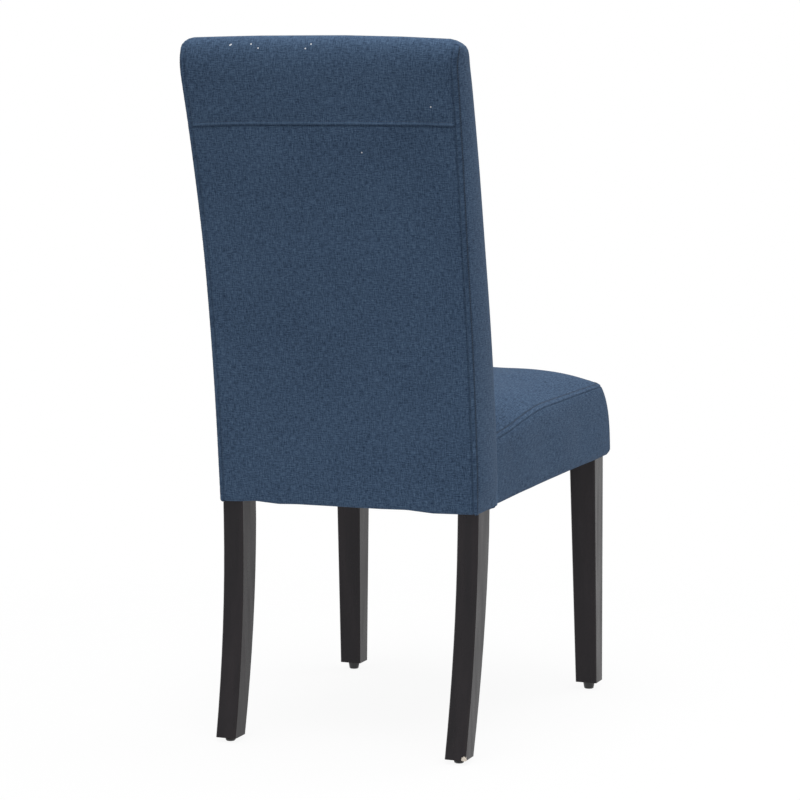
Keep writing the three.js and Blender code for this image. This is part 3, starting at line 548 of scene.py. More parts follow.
navy_deep = (0.0180, 0.0355, 0.0710)
navy_pale = (0.0920, 0.1530, 0.2500)
# Painted shade: the colour that the seams' grooves and topstitch dimples are darkened towards.
navy_painted_shade = (0.0100, 0.0180, 0.0340)
navy_thread = ((0.016, 0.028, 0.052), (0.055, 0.085, 0.14))
sheen_blue = (0.55, 0.68, 0.85, 1.0)
lint_white = (0.80, 0.84, 0.88)
lint_size = (0.0006, 0.0012)
lint_reach = (1.0, 0.05, 1.0)
lint_flecks = (
    (0.1266, 0.318, 0.9896), (0.1252, 0.318, 0.9904), (0.0953, 0.318, 0.9907),
    (0.0840, 0.320, 0.9851), (0.0064, 0.318, 0.9898), (0.0141, 0.316, 0.9839),
    (-0.0589, 0.289, 0.8447), (-0.1626, 0.309, 0.9056), (-0.2139, 0.266, 0.7124),
)

linen_weave = make_weave_group()
cloth, surface, place = new_material("navy_linen_cloth")
laid = add_node(surface, "ShaderNodeUVMap", uv_map="cloth").outputs[0]
weave = use_group(linen_weave, Place=laid, Pitch=0.0009)
mottle = spread(noise(place, 9.0, 3.0), 0.3, 0.7, -0.05, 0.05)
shade = plus(spread(weave["Yarn"], 0.20, 0.80, 0.02, 0.88), mottle)
woven = colour_between(shade, navy_deep, navy_pale)
# Painted shade and painted highlight: numbers per point from the covers darken the cloth's colour
# with painted shade in the seams' grooves and topstitch dimples, and lighten it with a painted
# highlight along the seams' raised edges.
groove, painted_ridge_highlight = (
    add_node(surface, "ShaderNodeAttribute", attribute_name=key).outputs["Fac"]
    for key in ("groove", "painted_ridge_highlight"))
highlight_painted = colour_between(painted_ridge_highlight, woven, navy_pale)
shade_painted = colour_between(groove, highlight_painted, navy_painted_shade)
near_lint = combine("MULTIPLY", place, lint_reach)
lint = 0.0
for fleck in lint_flecks:
    away = combine("DISTANCE", near_lint, tuple(np.multiply(fleck, lint_reach)))
    lint = calculate("MAXIMUM", lint, spread(away, *lint_size, 1.0, 0.0))
relief = plus(weave["Relief"], times(weave["Yarn"], 0.8))
set_inputs(surface, {
    "Base Color": colour_between(lint, shade_painted, lint_white),
    "Roughness": 0.92,
    "Specular IOR Level": 0.15,
    "Sheen Weight": 0.03,
    "Sheen Roughness": 0.5,
    "Sheen Tint": sheen_blue,
    "Normal": relief_of(relief, 0.00022, 0.6),
})

stitch_thread, surface, place = new_material("navy_sewing_thread")
fibres = noise(place, 2200.0, 2.0)
set_inputs(surface, {
    "Base Color": colour_between(fibres, *navy_thread),
    "Roughness": 0.65,
    "Normal": relief_of(fibres, 0.0001, 0.6),
})


# The back: foam wrapped over the frame, under a sewn sock of navy cloth. A rear panel, a top
# panel that rolls over to the front, and a gusset on each side are joined by topstitched
# seams, and the sock's edge is turned under the frame and stapled.
def bell(value, width):
    """exp(-(value / width)^2): 1 at nought and almost 0 two widths away."""
    return np.exp(-(value / width) ** 2)


def running(steps):
    """How far one has come after each step, from 0."""
    return np.concatenate([[0], np.cumsum(steps)])


def spaced(length, step, fine_at=(), fine_step=0.001, fine_reach=0.01):
    """Places from 0 to length that lie a step apart, and a fine step apart near fine_at. Their
    density is summed along the length and cut into equal amounts."""
    fine = np.linspace(0, length, 4001)
    density = np.full_like(fine, 1 / step)
    for place_at in fine_at:
        near = 1 - smooth(np.abs(fine - place_at), fine_reach * 0.6, fine_reach)
        density += (1 / fine_step - 1 / step) * near
    counted = running((density[1:] + density[:-1]) / 2 * np.diff(fine))
    return np.interp(np.linspace(0, counted[-1], int(math.ceil(counted[-1])) + 1), counted, fine)


def seam_relief(distance, width):
    """A seam's height over the cloth: a groove at 0 where two panels join, doubled cloth from
    there to the topstitching, and a dimple along the topstitching."""
    doubled_height, groove_depth, dimple_depth = 0.0010, 0.0013, 0.0009
    doubled = smooth(distance, 0.0004, 0.0022) - smooth(distance, width - 0.0002, width + 0.0020)
    return (doubled_height * doubled - groove_depth * bell(distance, 0.0012)
            - dimple_depth * bell(distance - width, 0.0012))


@contextlib.contextmanager
def opened(mesh):
    """The mesh opened for bmesh, which is written back and closed afterwards."""
    work = bmesh.new()
    work.from_mesh(mesh)
    yield work
    work.to_mesh(mesh)
    work.free()


def joined_mesh(name, points, faces, loops_uv, numbers):
    """A mesh whose equal points are made one, with its cloth UV map and a number per point."""
    mesh = new_mesh(name, points, faces.tolist())
    mesh.uv_layers.new(name="cloth").data.foreach_set("uv", loops_uv.astype(np.float32).ravel())
    set_numbers(mesh, numbers)
    with opened(mesh) as whole:
        bmesh.ops.remove_doubles(whole, verts=whole.verts[:], dist=2e-6)
        bmesh.ops.dissolve_degenerate(whole, dist=1e-7, edges=whole.edges[:])
    return mesh


def read(data, key, width):
    """A property of the mesh's points as an array of rows."""
    values = np.empty(len(data) * width, np.float32)
    data.foreach_get(key, values)
    return values.reshape(-1, width).astype(float)


def points_of(mesh):
    """The mesh's points as an array."""
    return read(mesh.vertices, "co", 3)


def normals_of(mesh):
    """The mesh's normals at its points as an array."""
    return read(mesh.vertex_normals, "vector", 3)


def numbers_of(mesh, *keys):
    """The mesh's numbers per point, as an array for each name."""
    return [read(mesh.attributes[key].data, "value", 1)[:, 0] for key in keys]


def edge_ends(mesh):
    """The first and the second point of each of the mesh's edges."""
    ends = np.empty(len(mesh.edges) * 2, np.int32)
    mesh.edges.foreach_get("vertices", ends)
    return ends.reshape(-1, 2).T


def move_out(mesh, amount):
    """Moves the mesh's points along their normals."""
    moved = points_of(mesh) + normals_of(mesh) * amount[:, None]
    mesh.vertices.foreach_set("co", moved.astype(np.float32).ravel())


def cut_away(mesh, unwanted):
    """Deletes the faces that unwanted picks by their centre and normal."""
    with opened(mesh) as whole:
        bmesh.ops.delete(whole, geom=[
            face for face in whole.faces if unwanted(face.calc_center_median(), face.normal)
        ], context="FACES")


def seam_line(mesh, distance, order, chosen):
    """The points and normals where a number per point passes nought on the mesh's edges, sorted
    by a second number, among the edges between chosen points."""
    first, second = edge_ends(mesh)
    passes = (distance[first] * distance[second] < 0) & chosen[first] & chosen[second]
    passes &= np.abs(distance[first] - distance[second]) < 0.01
    first, second = first[passes], second[passes]
    share = (distance[first] / (distance[first] - distance[second]))[:, None]
    at_points, at_normals = (
        values[first] + (values[second] - values[first]) * share
        for values in (points_of(mesh), normals_of(mesh)))
    in_order = np.argsort(order[first] + (order[second] - order[first]) * share[:, 0])
    return at_points[in_order], at_normals[in_order]


def read_off(where, run, rows):
    """Rows of numbers read off between their places along a run."""
    return stacked(*(np.interp(where, run, column) for column in rows.T))


def sew(name, lines):
    """A piece of stitches, each a spindle of thread 2.6 mm long and 0.5 mm thick whose ends
    sink into the cloth, laid every 3.4 mm along lines of points with their normals."""
    pitch, half, radius, rise, sink, sides = 0.0034, 0.0013, 0.00027, 0.00022, 0.00050, 6
    profile = ((-1, 0.35), (-0.62, 0.92), (0, 1.0), (0.62, 0.92), (1, 0.35))
    turn = np.arange(sides) * 2 * math.pi / sides
    spindles = []
    for line_points, line_normals in lines:
        run = running(np.linalg.norm(np.diff(line_points, axis=0), axis=1))
        centres = np.arange(pitch, run[-1] - pitch, pitch)
        ahead = (read_off(centres + half, run, line_points)
                 - read_off(centres - half, run, line_points))
        ahead /= np.linalg.norm(ahead, axis=1, keepdims=True)
        upward = read_off(centres, run, line_normals)
        upward -= ahead * np.einsum("ij,ij->i", upward, ahead)[:, None]
        upward /= np.linalg.norm(upward, axis=1, keepdims=True)
        aside = np.cross(upward, ahead)
        middle_at = read_off(centres, run, line_points)
        spindles.append(np.stack([
            middle_at + ahead * ring * half + upward * (rise - sink * ring**4)
            + (aside * math.cos(angle) + upward * math.sin(angle)) * radius * size
            for ring, size in profile for angle in turn], axis=1))
    spindles = np.concatenate(spindles)
    mesh = new_mesh(name, spindles, tube_faces(len(profile), sides, len(spindles)))
    add_piece(name, mesh, stitch_thread)


def grid_faces(rows, columns):
    """The quads of a grid whose last column joins its first, wound to face outwards when the
    rows rise and the columns run counter-clockwise."""
    row, column = np.meshgrid(np.arange(rows - 1), np.arange(columns), indexing="ij")
    after = (column + 1) % columns
    low, high = row * columns, (row + 1) * columns
    return stacked(low + column, low + after, high + after, high + column).reshape(-1, 4)


def evened(mesh, values, rounds):
    """Numbers per point after each has moved halfway to its neighbours' mean, round by round."""
    first, second = edge_ends(mesh)
    neighbours = np.maximum(np.bincount([*first, *second], minlength=len(values)), 1)
    for _ in range(rounds):
        near = np.bincount(first, values[second], len(values))
        near += np.bincount(second, values[first], len(values))
        values = (values + near / neighbours) / 2
    return values


cloth_thickness = 0.0012
form_sunk = 0.003
form_grain = 0.006
fill_pressure = 0.5
fill_frames = 20
fill_reach = 0.03
fill_range = (-0.001, 0.006)
even_rounds = 60


def swell(mesh, sunk, held):
    """How far each point of a cover moves outwards when cloth over its form is blown up. The
    form is sunk by sunk(points), closed and remeshed at 6 mm, the cloth is held where
    held(points) says, and pressure fills it for 20 frames."""
    form = add_object("form", mesh.copy())
    move_out(form.data, -sunk(points_of(mesh)))
    with opened(form.data) as closed:
        bmesh.ops.holes_fill(closed, edges=[e for e in closed.edges if e.is_boundary], sides=0)
        bmesh.ops.recalc_face_normals(closed, faces=closed.faces[:])
    bpy.context.view_layer.objects.active = form
    even = form.modifiers.new("even", "REMESH")
    even.mode = "VOXEL"
    even.voxel_size = form_grain
    bpy.ops.object.modifier_apply(modifier="even")
    fixed = form.vertex_groups.new(name="held")
    fixed.add(np.flatnonzero(held(points_of(form.data))).tolist(), 1.0, "REPLACE")
    blown = form.modifiers.new("blown", "CLOTH")
    blown.settings.quality = 5
    blown.settings.vertex_group_mass = "held"
    blown.settings.use_pressure = True
    blown.settings.uniform_pressure_force = fill_pressure
    blown.settings.shrink_min = -0.012
    blown.settings.effector_weights.gravity = 0.0
    blown.collision_settings.use_collision = False
    for moment in range(1, fill_frames + 1):
        scene.frame_set(moment)
    bpy.ops.object.modifier_apply(modifier="blown")
    scene.frame_set(1)
    laid_on = add_object("laid_on", mesh.copy())
    wrap = laid_on.modifiers.new("wrap", "SHRINKWRAP")
    wrap.target = form
    wrap.wrap_method = "PROJECT"
    wrap.use_negative_direction = True
    wrap.use_positive_direction = True
    wrap.project_limit = fill_reach
    wrapped = laid_on.evaluated_get(bpy.context.evaluated_depsgraph_get())
    moved = np.einsum(
        "ij,ij->i", points_of(wrapped.to_mesh()) - points_of(mesh), normals_of(mesh))
    wrapped.to_mesh_clear()
    for spent in (form, laid_on):
        spent_mesh = spent.data
        bpy.data.objects.remove(spent)
        bpy.data.meshes.remove(spent_mesh)
    return evened(mesh, np.clip(moved, *fill_range), even_rounds)


leg_line = -0.30222
hem_level = 0.347
back_level = 1.0
back_hem_rear = 0.5155
back_hem_depth = 0.088
back_thinning = 0.036
back_lean, back_curve = 0.0456, 0.070
back_half, back_flare = 0.1969, 0.0054
back_crown = 0.48
inside_swell, rear_swell = 0.011, 0.003
roll_heights = (0.056, 0.034)
corner_height, corner_draw = 0.013, 0.015
gusset_bulge = 0.0055
edge_radius = 0.004
back_seam_level = 0.879
back_seam_bow = 0.0028
back_band = 0.0060
corner_join = -0.0028
corner_band = 0.0082
turned_under = 0.022
under_radius = 0.004
under_rows = 4
grid_step = 0.0048
grid_wide, grid_deep = 0.390, 0.080


def back_section(level):
    """Half width, middle and half depth of the back at a level: the rear face leans 46 mm and
    curves 70 mm back as it rises, the depth thins from 88 to 52 mm and then closes over the
    roll as (1 - s^2.2)^0.6, and the upper corners round in by 15 mm."""
    rise = (level - hem_level) / (back_level - hem_level)
    rear = leg_line + back_hem_rear + back_lean * rise + back_curve * rise**2
    depth = back_hem_depth - back_thinning * rise**2
    behind, ahead = (
        depth / 2 * (1 - np.clip((level - back_level + height) / height, 0, 1) ** 2.2) ** 0.6
        for height in roll_heights)
    cornered = np.clip((level - back_level + corner_height) / corner_height, 0, 1)
    rounded = corner_draw * (1 - np.sqrt(1 - cornered**2))
    half_width = back_half + back_flare * smooth(rise, 0.5, 1) - rounded
    return half_width, rear - depth / 2 + (behind - ahead) / 2, (behind + ahead) / 2


def back_ring():
    """The ring's columns: how each point lies on a rounded rectangle, as its share of the
    straight half sides (sx, sy) and of the corner radius (cx, cy), and the panel it is on: 0
    the rear, 1 and 3 the gussets, 2 the inside, and a half more for the corner after each."""
    flat = 1 - 2 * spaced(
        grid_wide, grid_step, (0.002, grid_wide - 0.002), 0.0009, 0.007)[:-1] / grid_wide
    side = 1 - 2 * spaced(
        grid_deep, grid_step, (0.001, grid_deep - 0.001), 0.0010, 0.006)[:-1] / grid_deep
    columns = []
    for turn in range(4):
        share = flat if turn % 2 == 0 else side
        angle = math.pi / 2 * (1 + turn)
        across, along = round(math.cos(angle)), round(math.sin(angle))
        sx = share * along + across
        sy = share * -across + along
        columns.append(stacked(sx, sy, across, along, turn))
        bend = angle + np.linspace(0, math.pi / 2, 13)[:-1]
        middle = angle + math.pi / 4
        sx, sy = np.sign(math.cos(middle)), np.sign(math.sin(middle))
        columns.append(stacked(sx, sy, np.cos(bend), np.sin(bend), turn + 0.5))
    return np.concatenate(columns).T


rows_fine = np.linspace(0, 1, 3001)
rows_level = hem_level + (back_level - hem_level) * (1 - (1 - rows_fine) ** 2.5)
_, rows_middle, rows_half = back_section(rows_level)
rows_length = running(np.hypot(np.diff(rows_level), np.diff(rows_middle + rows_half)))
seam_length = np.interp(back_seam_level, rows_level, rows_length)
seam_middle = seam_length + back_band / 2 + 0.0014
row_length = spaced(rows_length[-1], 0.0050, (seam_middle,), 0.001, 0.013)
row_level = np.interp(row_length, rows_length, rows_level)
under_bend = np.linspace(math.pi / 2, 0, 6)[:-1]
under_inset = np.concatenate([
    np.linspace(turned_under, under_radius, under_rows + 1)[:-1],
    under_radius * (1 - np.cos(under_bend))])
under_level = np.concatenate([np.zeros(under_rows), under_radius * (1 - np.sin(under_bend))])
row_inset = np.concatenate([under_inset, np.zeros(len(row_level) - 1)])
row_level = np.concatenate([
    hem_level + under_level, np.maximum(row_level[1:], hem_level + under_radius)])
row_length = np.concatenate([-under_inset, row_length[1:]])

sx, sy, cx, cy, panel = back_ring()
levels, lengths = row_level[:, None], row_length[:, None]
half_width, middle, half_depth = (value[:, None] for value in back_section(row_level))
radius = np.minimum(edge_radius, half_depth * 0.9)
rear_edge, front_edge = middle + half_depth, middle - half_depth
outer_x = sx * (half_width - radius) + cx * radius
outer_y = middle + sy * (half_depth - radius) + cy * radius
crown = np.sin(math.pi * np.clip((levels - (back_level - back_crown)) / back_crown, 0, 1))
across = 1 - (outer_x / half_width) ** 2
along_side = np.clip(1 - ((outer_y - middle) / np.maximum(half_depth, 1e-6)) ** 2, 0, 1)
side_bulge = (gusset_bulge * smooth(levels, hem_level, hem_level + 0.05)
              * smooth(half_depth, 0.008, 0.030))
outer_x = outer_x + np.sign(outer_x) * side_bulge * along_side * smooth(
    np.abs(outer_x), half_width - 0.006, half_width - 0.001)
ahead = (middle - outer_y) / np.maximum(half_depth, 1e-6)
outer_y = outer_y - crown * across * np.where(ahead > 0, inside_swell * ahead, rear_swell * ahead)

# The hem turns under by 22 mm, but only up to the posts, which stand out below it.
post_clear = 0.0011
post_inside, post_front = 0.1642, 0.4605 + leg_line
rear_under = 0.0098

beside_post = (np.abs(outer_x) > post_inside - 0.006) & (outer_y > post_front - 0.004)
under_limit = np.where(panel % 2 == 1, np.where(beside_post, post_clear, turned_under),
                       np.where(beside_post & (panel == 0), rear_under, turned_under))
under_limit = np.where((panel % 1 > 0) & beside_post, post_clear + 0.0025, under_limit)
inset = np.minimum(row_inset[:, None], np.where(row_inset[:, None] > 0, under_limit, 0))
points = stacked(outer_x - cx * inset, outer_y - cy * inset, levels)


def hem_lift(across):
    """How far the hem at the rear lies over its level, from the sitter's left to the right."""
    return np.interp(
        -across, [-0.197, -0.165, -0.144, -0.105, -0.077, 0.05, 0.09, 0.13, 0.197],
        [-0.0032, -0.0016, 0.0004, -0.0022, -0.0010, -0.0006, 0.0003, -0.0026, -0.0010])


# The hem's and the top's own unevenness, and the fuller upper corners.
near_hem = 1 - smooth(levels, hem_level, hem_level + 0.05)
points[..., 2] += hem_lift(outer_x) * near_hem * smooth(outer_y, middle - 0.01, middle + 0.03)
top_lift = np.interp(-outer_x, [-0.20, -0.15, -0.09, 0.0, 0.04, 0.12, 0.17, 0.20],
                     [0.0010, 0.0018, 0.0024, 0.0018, 0.0014, -0.0012, -0.0040, -0.0056])
points[..., 2] += top_lift * smooth(levels, 0.93, 1.0)
corner_fill = np.where(outer_x < 0, 0.0028, 0.0010) * bell(levels - 0.990, 0.016)
points[..., 0] -= corner_fill * smooth(np.abs(outer_x), 0.10, 0.19)

# How far each point lies past the seams: the rear corners', the front corners' and the level
# one between the rear panel and the top panel.
angle_past = np.arctan2(cy, cx)
past_rear = np.select(
    [panel == 0, panel == 0.5, panel == 3.5],
    [np.abs(outer_x) - (half_width - radius), (angle_past - math.pi / 2) * radius,
     (math.pi / 2 - angle_past) * radius],
    np.where(panel == 2, 1.0, radius * math.pi / 2 + (rear_edge - radius - outer_y)))
turned_front = np.where(panel == 1.5, np.mod(angle_past, 2 * math.pi) - math.pi,
                        -np.mod(angle_past, 2 * math.pi) + 2 * math.pi)
past_front = np.select(
    [panel == 2, (panel == 1.5) | (panel == 2.5)],
    [radius * math.pi / 4 + (half_width - radius - np.abs(outer_x)),
     (turned_front - math.pi / 4) * radius],
    -(radius * math.pi / 4 + outer_y - (front_edge + radius)))
past_front = np.where(panel == 0, -1.0, past_front)
seam_bow = back_seam_bow * (1 - (outer_x / half_width) ** 2)
past_level = np.where(past_rear < corner_join, lengths - seam_length - seam_bow, 1.0)

faces = grid_faces(len(row_level), len(panel))
flat_u = np.where((panel >= 1.5) & (panel <= 2.5), -outer_x, outer_x)
on_gusset = ((panel >= 0.5) & (panel <= 1.5)) | ((panel >= 2.5) & (panel <= 3.5))
main_uv = stacked(flat_u, lengths).reshape(-1, 2)
side_uv = stacked(outer_y, points[..., 2]).reshape(-1, 2)
face_gusset = np.tile(on_gusset & np.roll(on_gusset, -1), len(row_level) - 1)
loops_uv = np.where(face_gusset[:, None, None], side_uv[faces], main_uv[faces])
back_mesh = joined_mesh("back_cover_sewn", points, faces, loops_uv, {
    "past_rear": past_rear, "past_front": past_front, "past_level": past_level,
    "open_top": smooth(half_depth, 0.010, 0.020) + 0 * outer_x, "along": lengths + 0 * outer_x,
})


def back_edge_distance(points):
    """How far points of the back lie from the seams at its corners, measured level."""
    level = np.clip(points[:, 2], hem_level, back_level - 1e-4)
    half_width, middle, half_depth = back_section(level)
    beside = half_width - np.abs(points[:, 0])
    behind = half_depth - np.abs(points[:, 1] - middle)
    return np.hypot(np.maximum(beside, 0), np.maximum(behind, 0))


def back_sunk(points):
    """The form starts 3 mm low in the middle of a panel and full at its seams and hem."""
    return form_sunk * smooth(back_edge_distance(points), 0.010, 0.060) * smooth(
        points[:, 2], hem_level + 0.02, hem_level + 0.10)


def back_held(points):
    """The cloth is held at the corner seams and along the hem."""
    return (back_edge_distance(points) < 0.011) | (points[:, 2] < hem_level + 0.025)


past_rear, past_front, past_level, open_top, along = numbers_of(
    back_mesh, "past_rear", "past_front", "past_level", "open_top", "along")
fullness = swell(back_mesh, back_sunk, back_held)
fullness *= 1 - smooth(points_of(back_mesh)[:, 2], 0.86, 0.985)
past_corner = past_rear - corner_join
puckers = np.sin(along * 2 * math.pi / 0.013 + 1.7 * np.sin(along * 41)) * 0.00022
relief = open_top * (
    seam_relief(past_corner, corner_band) + puckers * np.exp(-np.abs(past_corner) / 0.007)
    - 0.0007 * bell(past_front, 0.0013))
relief += seam_relief(past_level, back_band)
move_out(back_mesh, relief + fullness)

back_at = points_of(back_mesh)
# Painted shade and painted highlight for the back's cloth colour, per point: shade painted along
# the rear corner seams' joins (more towards negative X), along their topstitching, along the
# level seam and at the front corners; a highlight painted on the level seam's raised band and on
# the gussets just behind the front corners, stronger low down.
seen_from_right = smooth(-back_at[:, 0], -0.05, 0.05)
low_down = 1 - smooth(back_at[:, 2], 0.50, 0.62)
set_numbers(back_mesh, {
    "groove": np.maximum.reduce([
        (0.10 + 0.12 * seen_from_right) * open_top * bell(past_corner, 0.0012),
        0.8 * open_top * bell(past_corner - corner_band, 0.0016),
        0.35 * bell(past_level, 0.0011), 0.25 * open_top * bell(past_front, 0.0009)]),
    "painted_ridge_highlight": np.maximum(0.5 * bell(past_level - 0.6 * back_band, 0.0009),
                        (0.32 + 0.50 * low_down) * open_top * bell(past_front + 0.0048, 0.0034)),
})

on_back_face = (open_top > 0.5) & (back_at[:, 2] > hem_level + 0.006)
sew("back_topstitching", [
    seam_line(back_mesh, past_corner - corner_band, back_at[:, 2],
              on_back_face & (back_at[:, 0] * hand > 0))
    for hand in (-1, 1)
] + [seam_line(back_mesh, past_level - back_band, back_at[:, 0], past_rear < corner_join)])

window_half = 0.1885
window_top = 0.4245


def in_window(centre, normal):
    """Picks the inside panel's faces that the seat covers."""
    return (abs(centre.x) < window_half and hem_level + 0.0001 < centre.z < window_top
            and centre.y < leg_line + back_hem_rear - 0.06 and normal.y < -0.5)


cut_away(back_mesh, in_window)
back_piece = add_piece("back_cover_sewn", back_mesh, cloth, cloth_thickness)
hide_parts("back_cover", "back_foam")


# The seat cushion: foam on the board, under a boxed cover. The crowned top panel and the
# boxing are joined by a topstitched seam that wraps round the front corners and dips where
# it meets the back, and the edge is turned under the rails and stapled.
seat_base = 0.370
seat_side = 0.109
seat_crown = 0.0305
seat_front = -0.012
seat_half_front = 0.228
seat_half_rear = 0.194
seat_band = 0.0095
seat_dip = 0.019
seat_dip_length = 0.188
seat_under = 0.020
seat_under_rows = 5
seat_under_radius = 0.004
seat_draw_in = 0.007
seat_round_low, seat_round_high = 0.013, 0.036
seat_round_rear = 0.003
seat_back_gap = 0.0004
seat_middle_reach = 0.215


def seat_half(depth):
    """Half the seat's width at a depth behind the legs' front faces, straight from 228 mm in
    front to 194 mm at the back."""
    return seat_half_front + (seat_half_rear - seat_half_front) * depth / seat_deep


def seat_dipped(depth):
    """How far the seam lies below its front height at a depth."""
    return seat_dip * smooth(depth, seat_deep - seat_dip_length, seat_deep)


def seat_ring():
    """How each column follows the plan: its weights on the start, the corner and the end of
    each of the four rounded corners. A corner is the curve (1-t)^2, 2t(1-t), t^2 over its
    three points, and a side runs straight to the next start."""
    weights = []
    for turn, steps in enumerate((104, 92, 104, 100)):
        share = np.linspace(0, 1, 15)[:-1]
        made = np.zeros((len(share), 12))
        made[:, turn * 3] = (1 - share) ** 2
        made[:, turn * 3 + 1] = 2 * share * (1 - share)
        made[:, turn * 3 + 2] = share**2
        weights.append(made)
        share = np.linspace(0, 1, steps + 1)[:-1]
        made = np.zeros((len(share), 12))
        made[:, turn * 3 + 2] = 1 - share
        made[:, (turn * 3 + 3) % 12] = share
        weights.append(made)
    return np.concatenate(weights)


def seat_outline(level, share, inward):
    """The plan at each row: a trapezoid with rounded corners, drawn in by a number per row.
    The corners' radius grows from 13 to 36 mm up the boxing, and the boxing leans in by
    7 share^4 and is rounded under by 4 mm."""
    under = np.maximum(0, 1 - level / 0.009)
    draw_in = seat_draw_in * share**4 + seat_under_radius * under**2 + inward
    front = seat_front + draw_in
    front_radius = seat_round_low + (seat_round_high - seat_round_low) * share**2
    rear_level = seat_base + level - seat_dip * share - seat_slope * seat_deep
    _, middle, half_depth = back_section(rear_level)
    rear = middle - half_depth - leg_line - seat_back_gap - inward
    front_half, rear_half = seat_half(front) - draw_in, seat_half(rear) - draw_in / 2
    corners = np.stack([
        stacked(front_half, front), stacked(rear_half, rear),
        stacked(-rear_half, rear), stacked(-front_half, front)], axis=1)
    radii = stacked(front_radius, seat_round_rear, seat_round_rear, front_radius)[..., None]
    start, end = (
        corners + towards / np.linalg.norm(towards, axis=-1, keepdims=True) * radii
        for towards in (np.roll(corners, step, axis=1) - corners for step in (1, -1)))
    knots = np.stack([start, corners, end], axis=2).reshape(len(level), 12, 2)
    return np.einsum("cw,rwx->rcx", seat_ring(), knots)


side_level = spaced(seat_side, 0.0040, (seat_side,), 0.001, 0.012)
level = np.concatenate([np.zeros(seat_under_rows), side_level])
inward = np.concatenate([
    np.linspace(seat_under, 0, seat_under_rows + 1)[:-1], 0 * side_level])
share = level / seat_side
ring = seat_outline(level, share, inward)
droop = np.interp(ring[..., 1], [0.0, 0.18, 0.26, 0.34, 0.416],
                  [0.0, -0.0008, 0.0, 0.0008, 0.0023])
droop = droop * (1 - smooth(level[:, None], 0.0, 0.04))
side_height = level[:, None] - seat_dipped(ring[..., 1]) * share[:, None] - droop
side_points = np.dstack([ring, side_height])

crown_share = spaced(seat_middle_reach, 0.0042, (0.0, seat_band), 0.001, 0.010)
crown_share = crown_share[1:, None] / seat_middle_reach
seam_ring = side_points[-1]
seat_middle = np.array((0, seat_deep / 2))
plan = seam_ring[:, :2] + (seat_middle - seam_ring[:, :2]) * crown_share[..., None]
a = np.abs(plan[..., 0]) / (seat_half(plan[..., 1]) - 0.007)
b = np.abs(plan[..., 1] - (seat_deep + seat_front) / 2) / ((seat_deep - seat_front) / 2)
even = 1 - (1 - np.minimum(a, 1) ** 8) * (1 - np.minimum(b, 1) ** 6)
edged = (1 - crown_share) ** 5
low = edged + (even - edged) * smooth(crown_share, 0.0, 0.3)
crown_height = seat_side - seat_dipped(plan[..., 1]) * low + seat_crown * (1 - low)
crown_points = np.dstack([plan, crown_height])

local = np.concatenate([side_points, crown_points])
steps = np.linalg.norm(np.diff(local, axis=0), axis=-1)
past_seam = np.concatenate([np.zeros((1, steps.shape[1])), np.cumsum(steps, axis=0)])
past_seam -= past_seam[len(side_points) - 1]
around = running(np.linalg.norm(np.diff(seam_ring[:, :2], axis=0), axis=-1))
points = local.copy()
points[..., 1] += leg_line
points[..., 2] += seat_base - seat_slope * local[..., 1]

faces = grid_faces(*local.shape[:2])
side_uv = stacked(around, past_seam).reshape(-1, 2)
top_uv = points[..., :2].reshape(-1, 2)
face_row, face_column = np.divmod(np.arange(len(faces)), local.shape[1])
on_side = face_row < len(side_points) - 1
loops_uv = np.where(on_side[:, None, None], side_uv[faces], top_uv[faces])
last_column = face_column == local.shape[1] - 1
whole_round = around[-1] + np.linalg.norm(seam_ring[0, :2] - seam_ring[-1, :2])
loops_uv[:, 1:3, 0] += (whole_round * (on_side & last_column))[:, None]
seat_mesh = joined_mesh("seat_cover_sewn", points, faces, loops_uv, {
    "past_seam": past_seam, "along": around + 0 * past_seam,
})


def seat_local(points):
    """Depth behind the legs' front faces, and height over the seat's sloping underside."""
    depth = points[:, 1] - leg_line
    return depth, points[:, 2] - seat_base + seat_slope * depth


def seat_seam_distance(points):
    """How far points of the seat lie from the height of the seam, near the seat's edge."""
    depth, height = seat_local(points)
    beside = np.minimum(seat_half(depth) - np.abs(points[:, 0]), depth - seat_front)
    return np.hypot(np.maximum(beside - 0.009, 0), height - (seat_side - seat_dipped(depth)))


def seat_sunk(points):
    """The form starts 3 mm low in the middle of its panels and full at its seam and edges."""
    depth, height = seat_local(points)
    return form_sunk * smooth(seat_seam_distance(points), 0.008, 0.045) * smooth(
        height, 0.01, 0.04) * (1 - smooth(depth, 0.38, 0.42))


def seat_held(points):
    """The cloth is held at the seam, under the rails and against the back."""
    depth, height = seat_local(points)
    return (seat_seam_distance(points) < 0.007) | (height < 0.012) | (depth > 0.415)


past_seam, along = numbers_of(seat_mesh, "past_seam", "along")
fullness = swell(seat_mesh, seat_sunk, seat_held)
seat_depth, _ = seat_local(points_of(seat_mesh))
seen_seam = 1 - smooth(seat_depth, seat_deep - 0.016, seat_deep - 0.006)
puckers = np.sin(along * 2 * math.pi / 0.014 + 1.9 * np.sin(along * 37)) * 0.00025
relief = seen_seam * (seam_relief(past_seam, seat_band)
                      + puckers * np.exp(-np.abs(past_seam - seat_band / 2) / 0.010))
move_out(seat_mesh, relief + fullness)
# Painted shade along the seat seam's join and its topstitching, and a faint painted highlight on
# the doubled band between them, for the cloth's colour.
set_numbers(seat_mesh, {
    "groove": seen_seam * np.maximum(
        0.35 * bell(past_seam, 0.0010), 0.62 * bell(past_seam - seat_band, 0.0015)),
    "painted_ridge_highlight": seen_seam * 0.05 * bell(past_seam - seat_band * 0.5, 0.0020),
})
sew("seat_topstitching", [
    seam_line(seat_mesh, past_seam - seat_band, along, seat_depth < seat_deep - 0.012)])

leg_inside, leg_outside, leg_behind = 0.1748, 0.2176, 0.0455
rail_half, rail_top = 0.1882, 0.0722
cut_clear = 0.0006


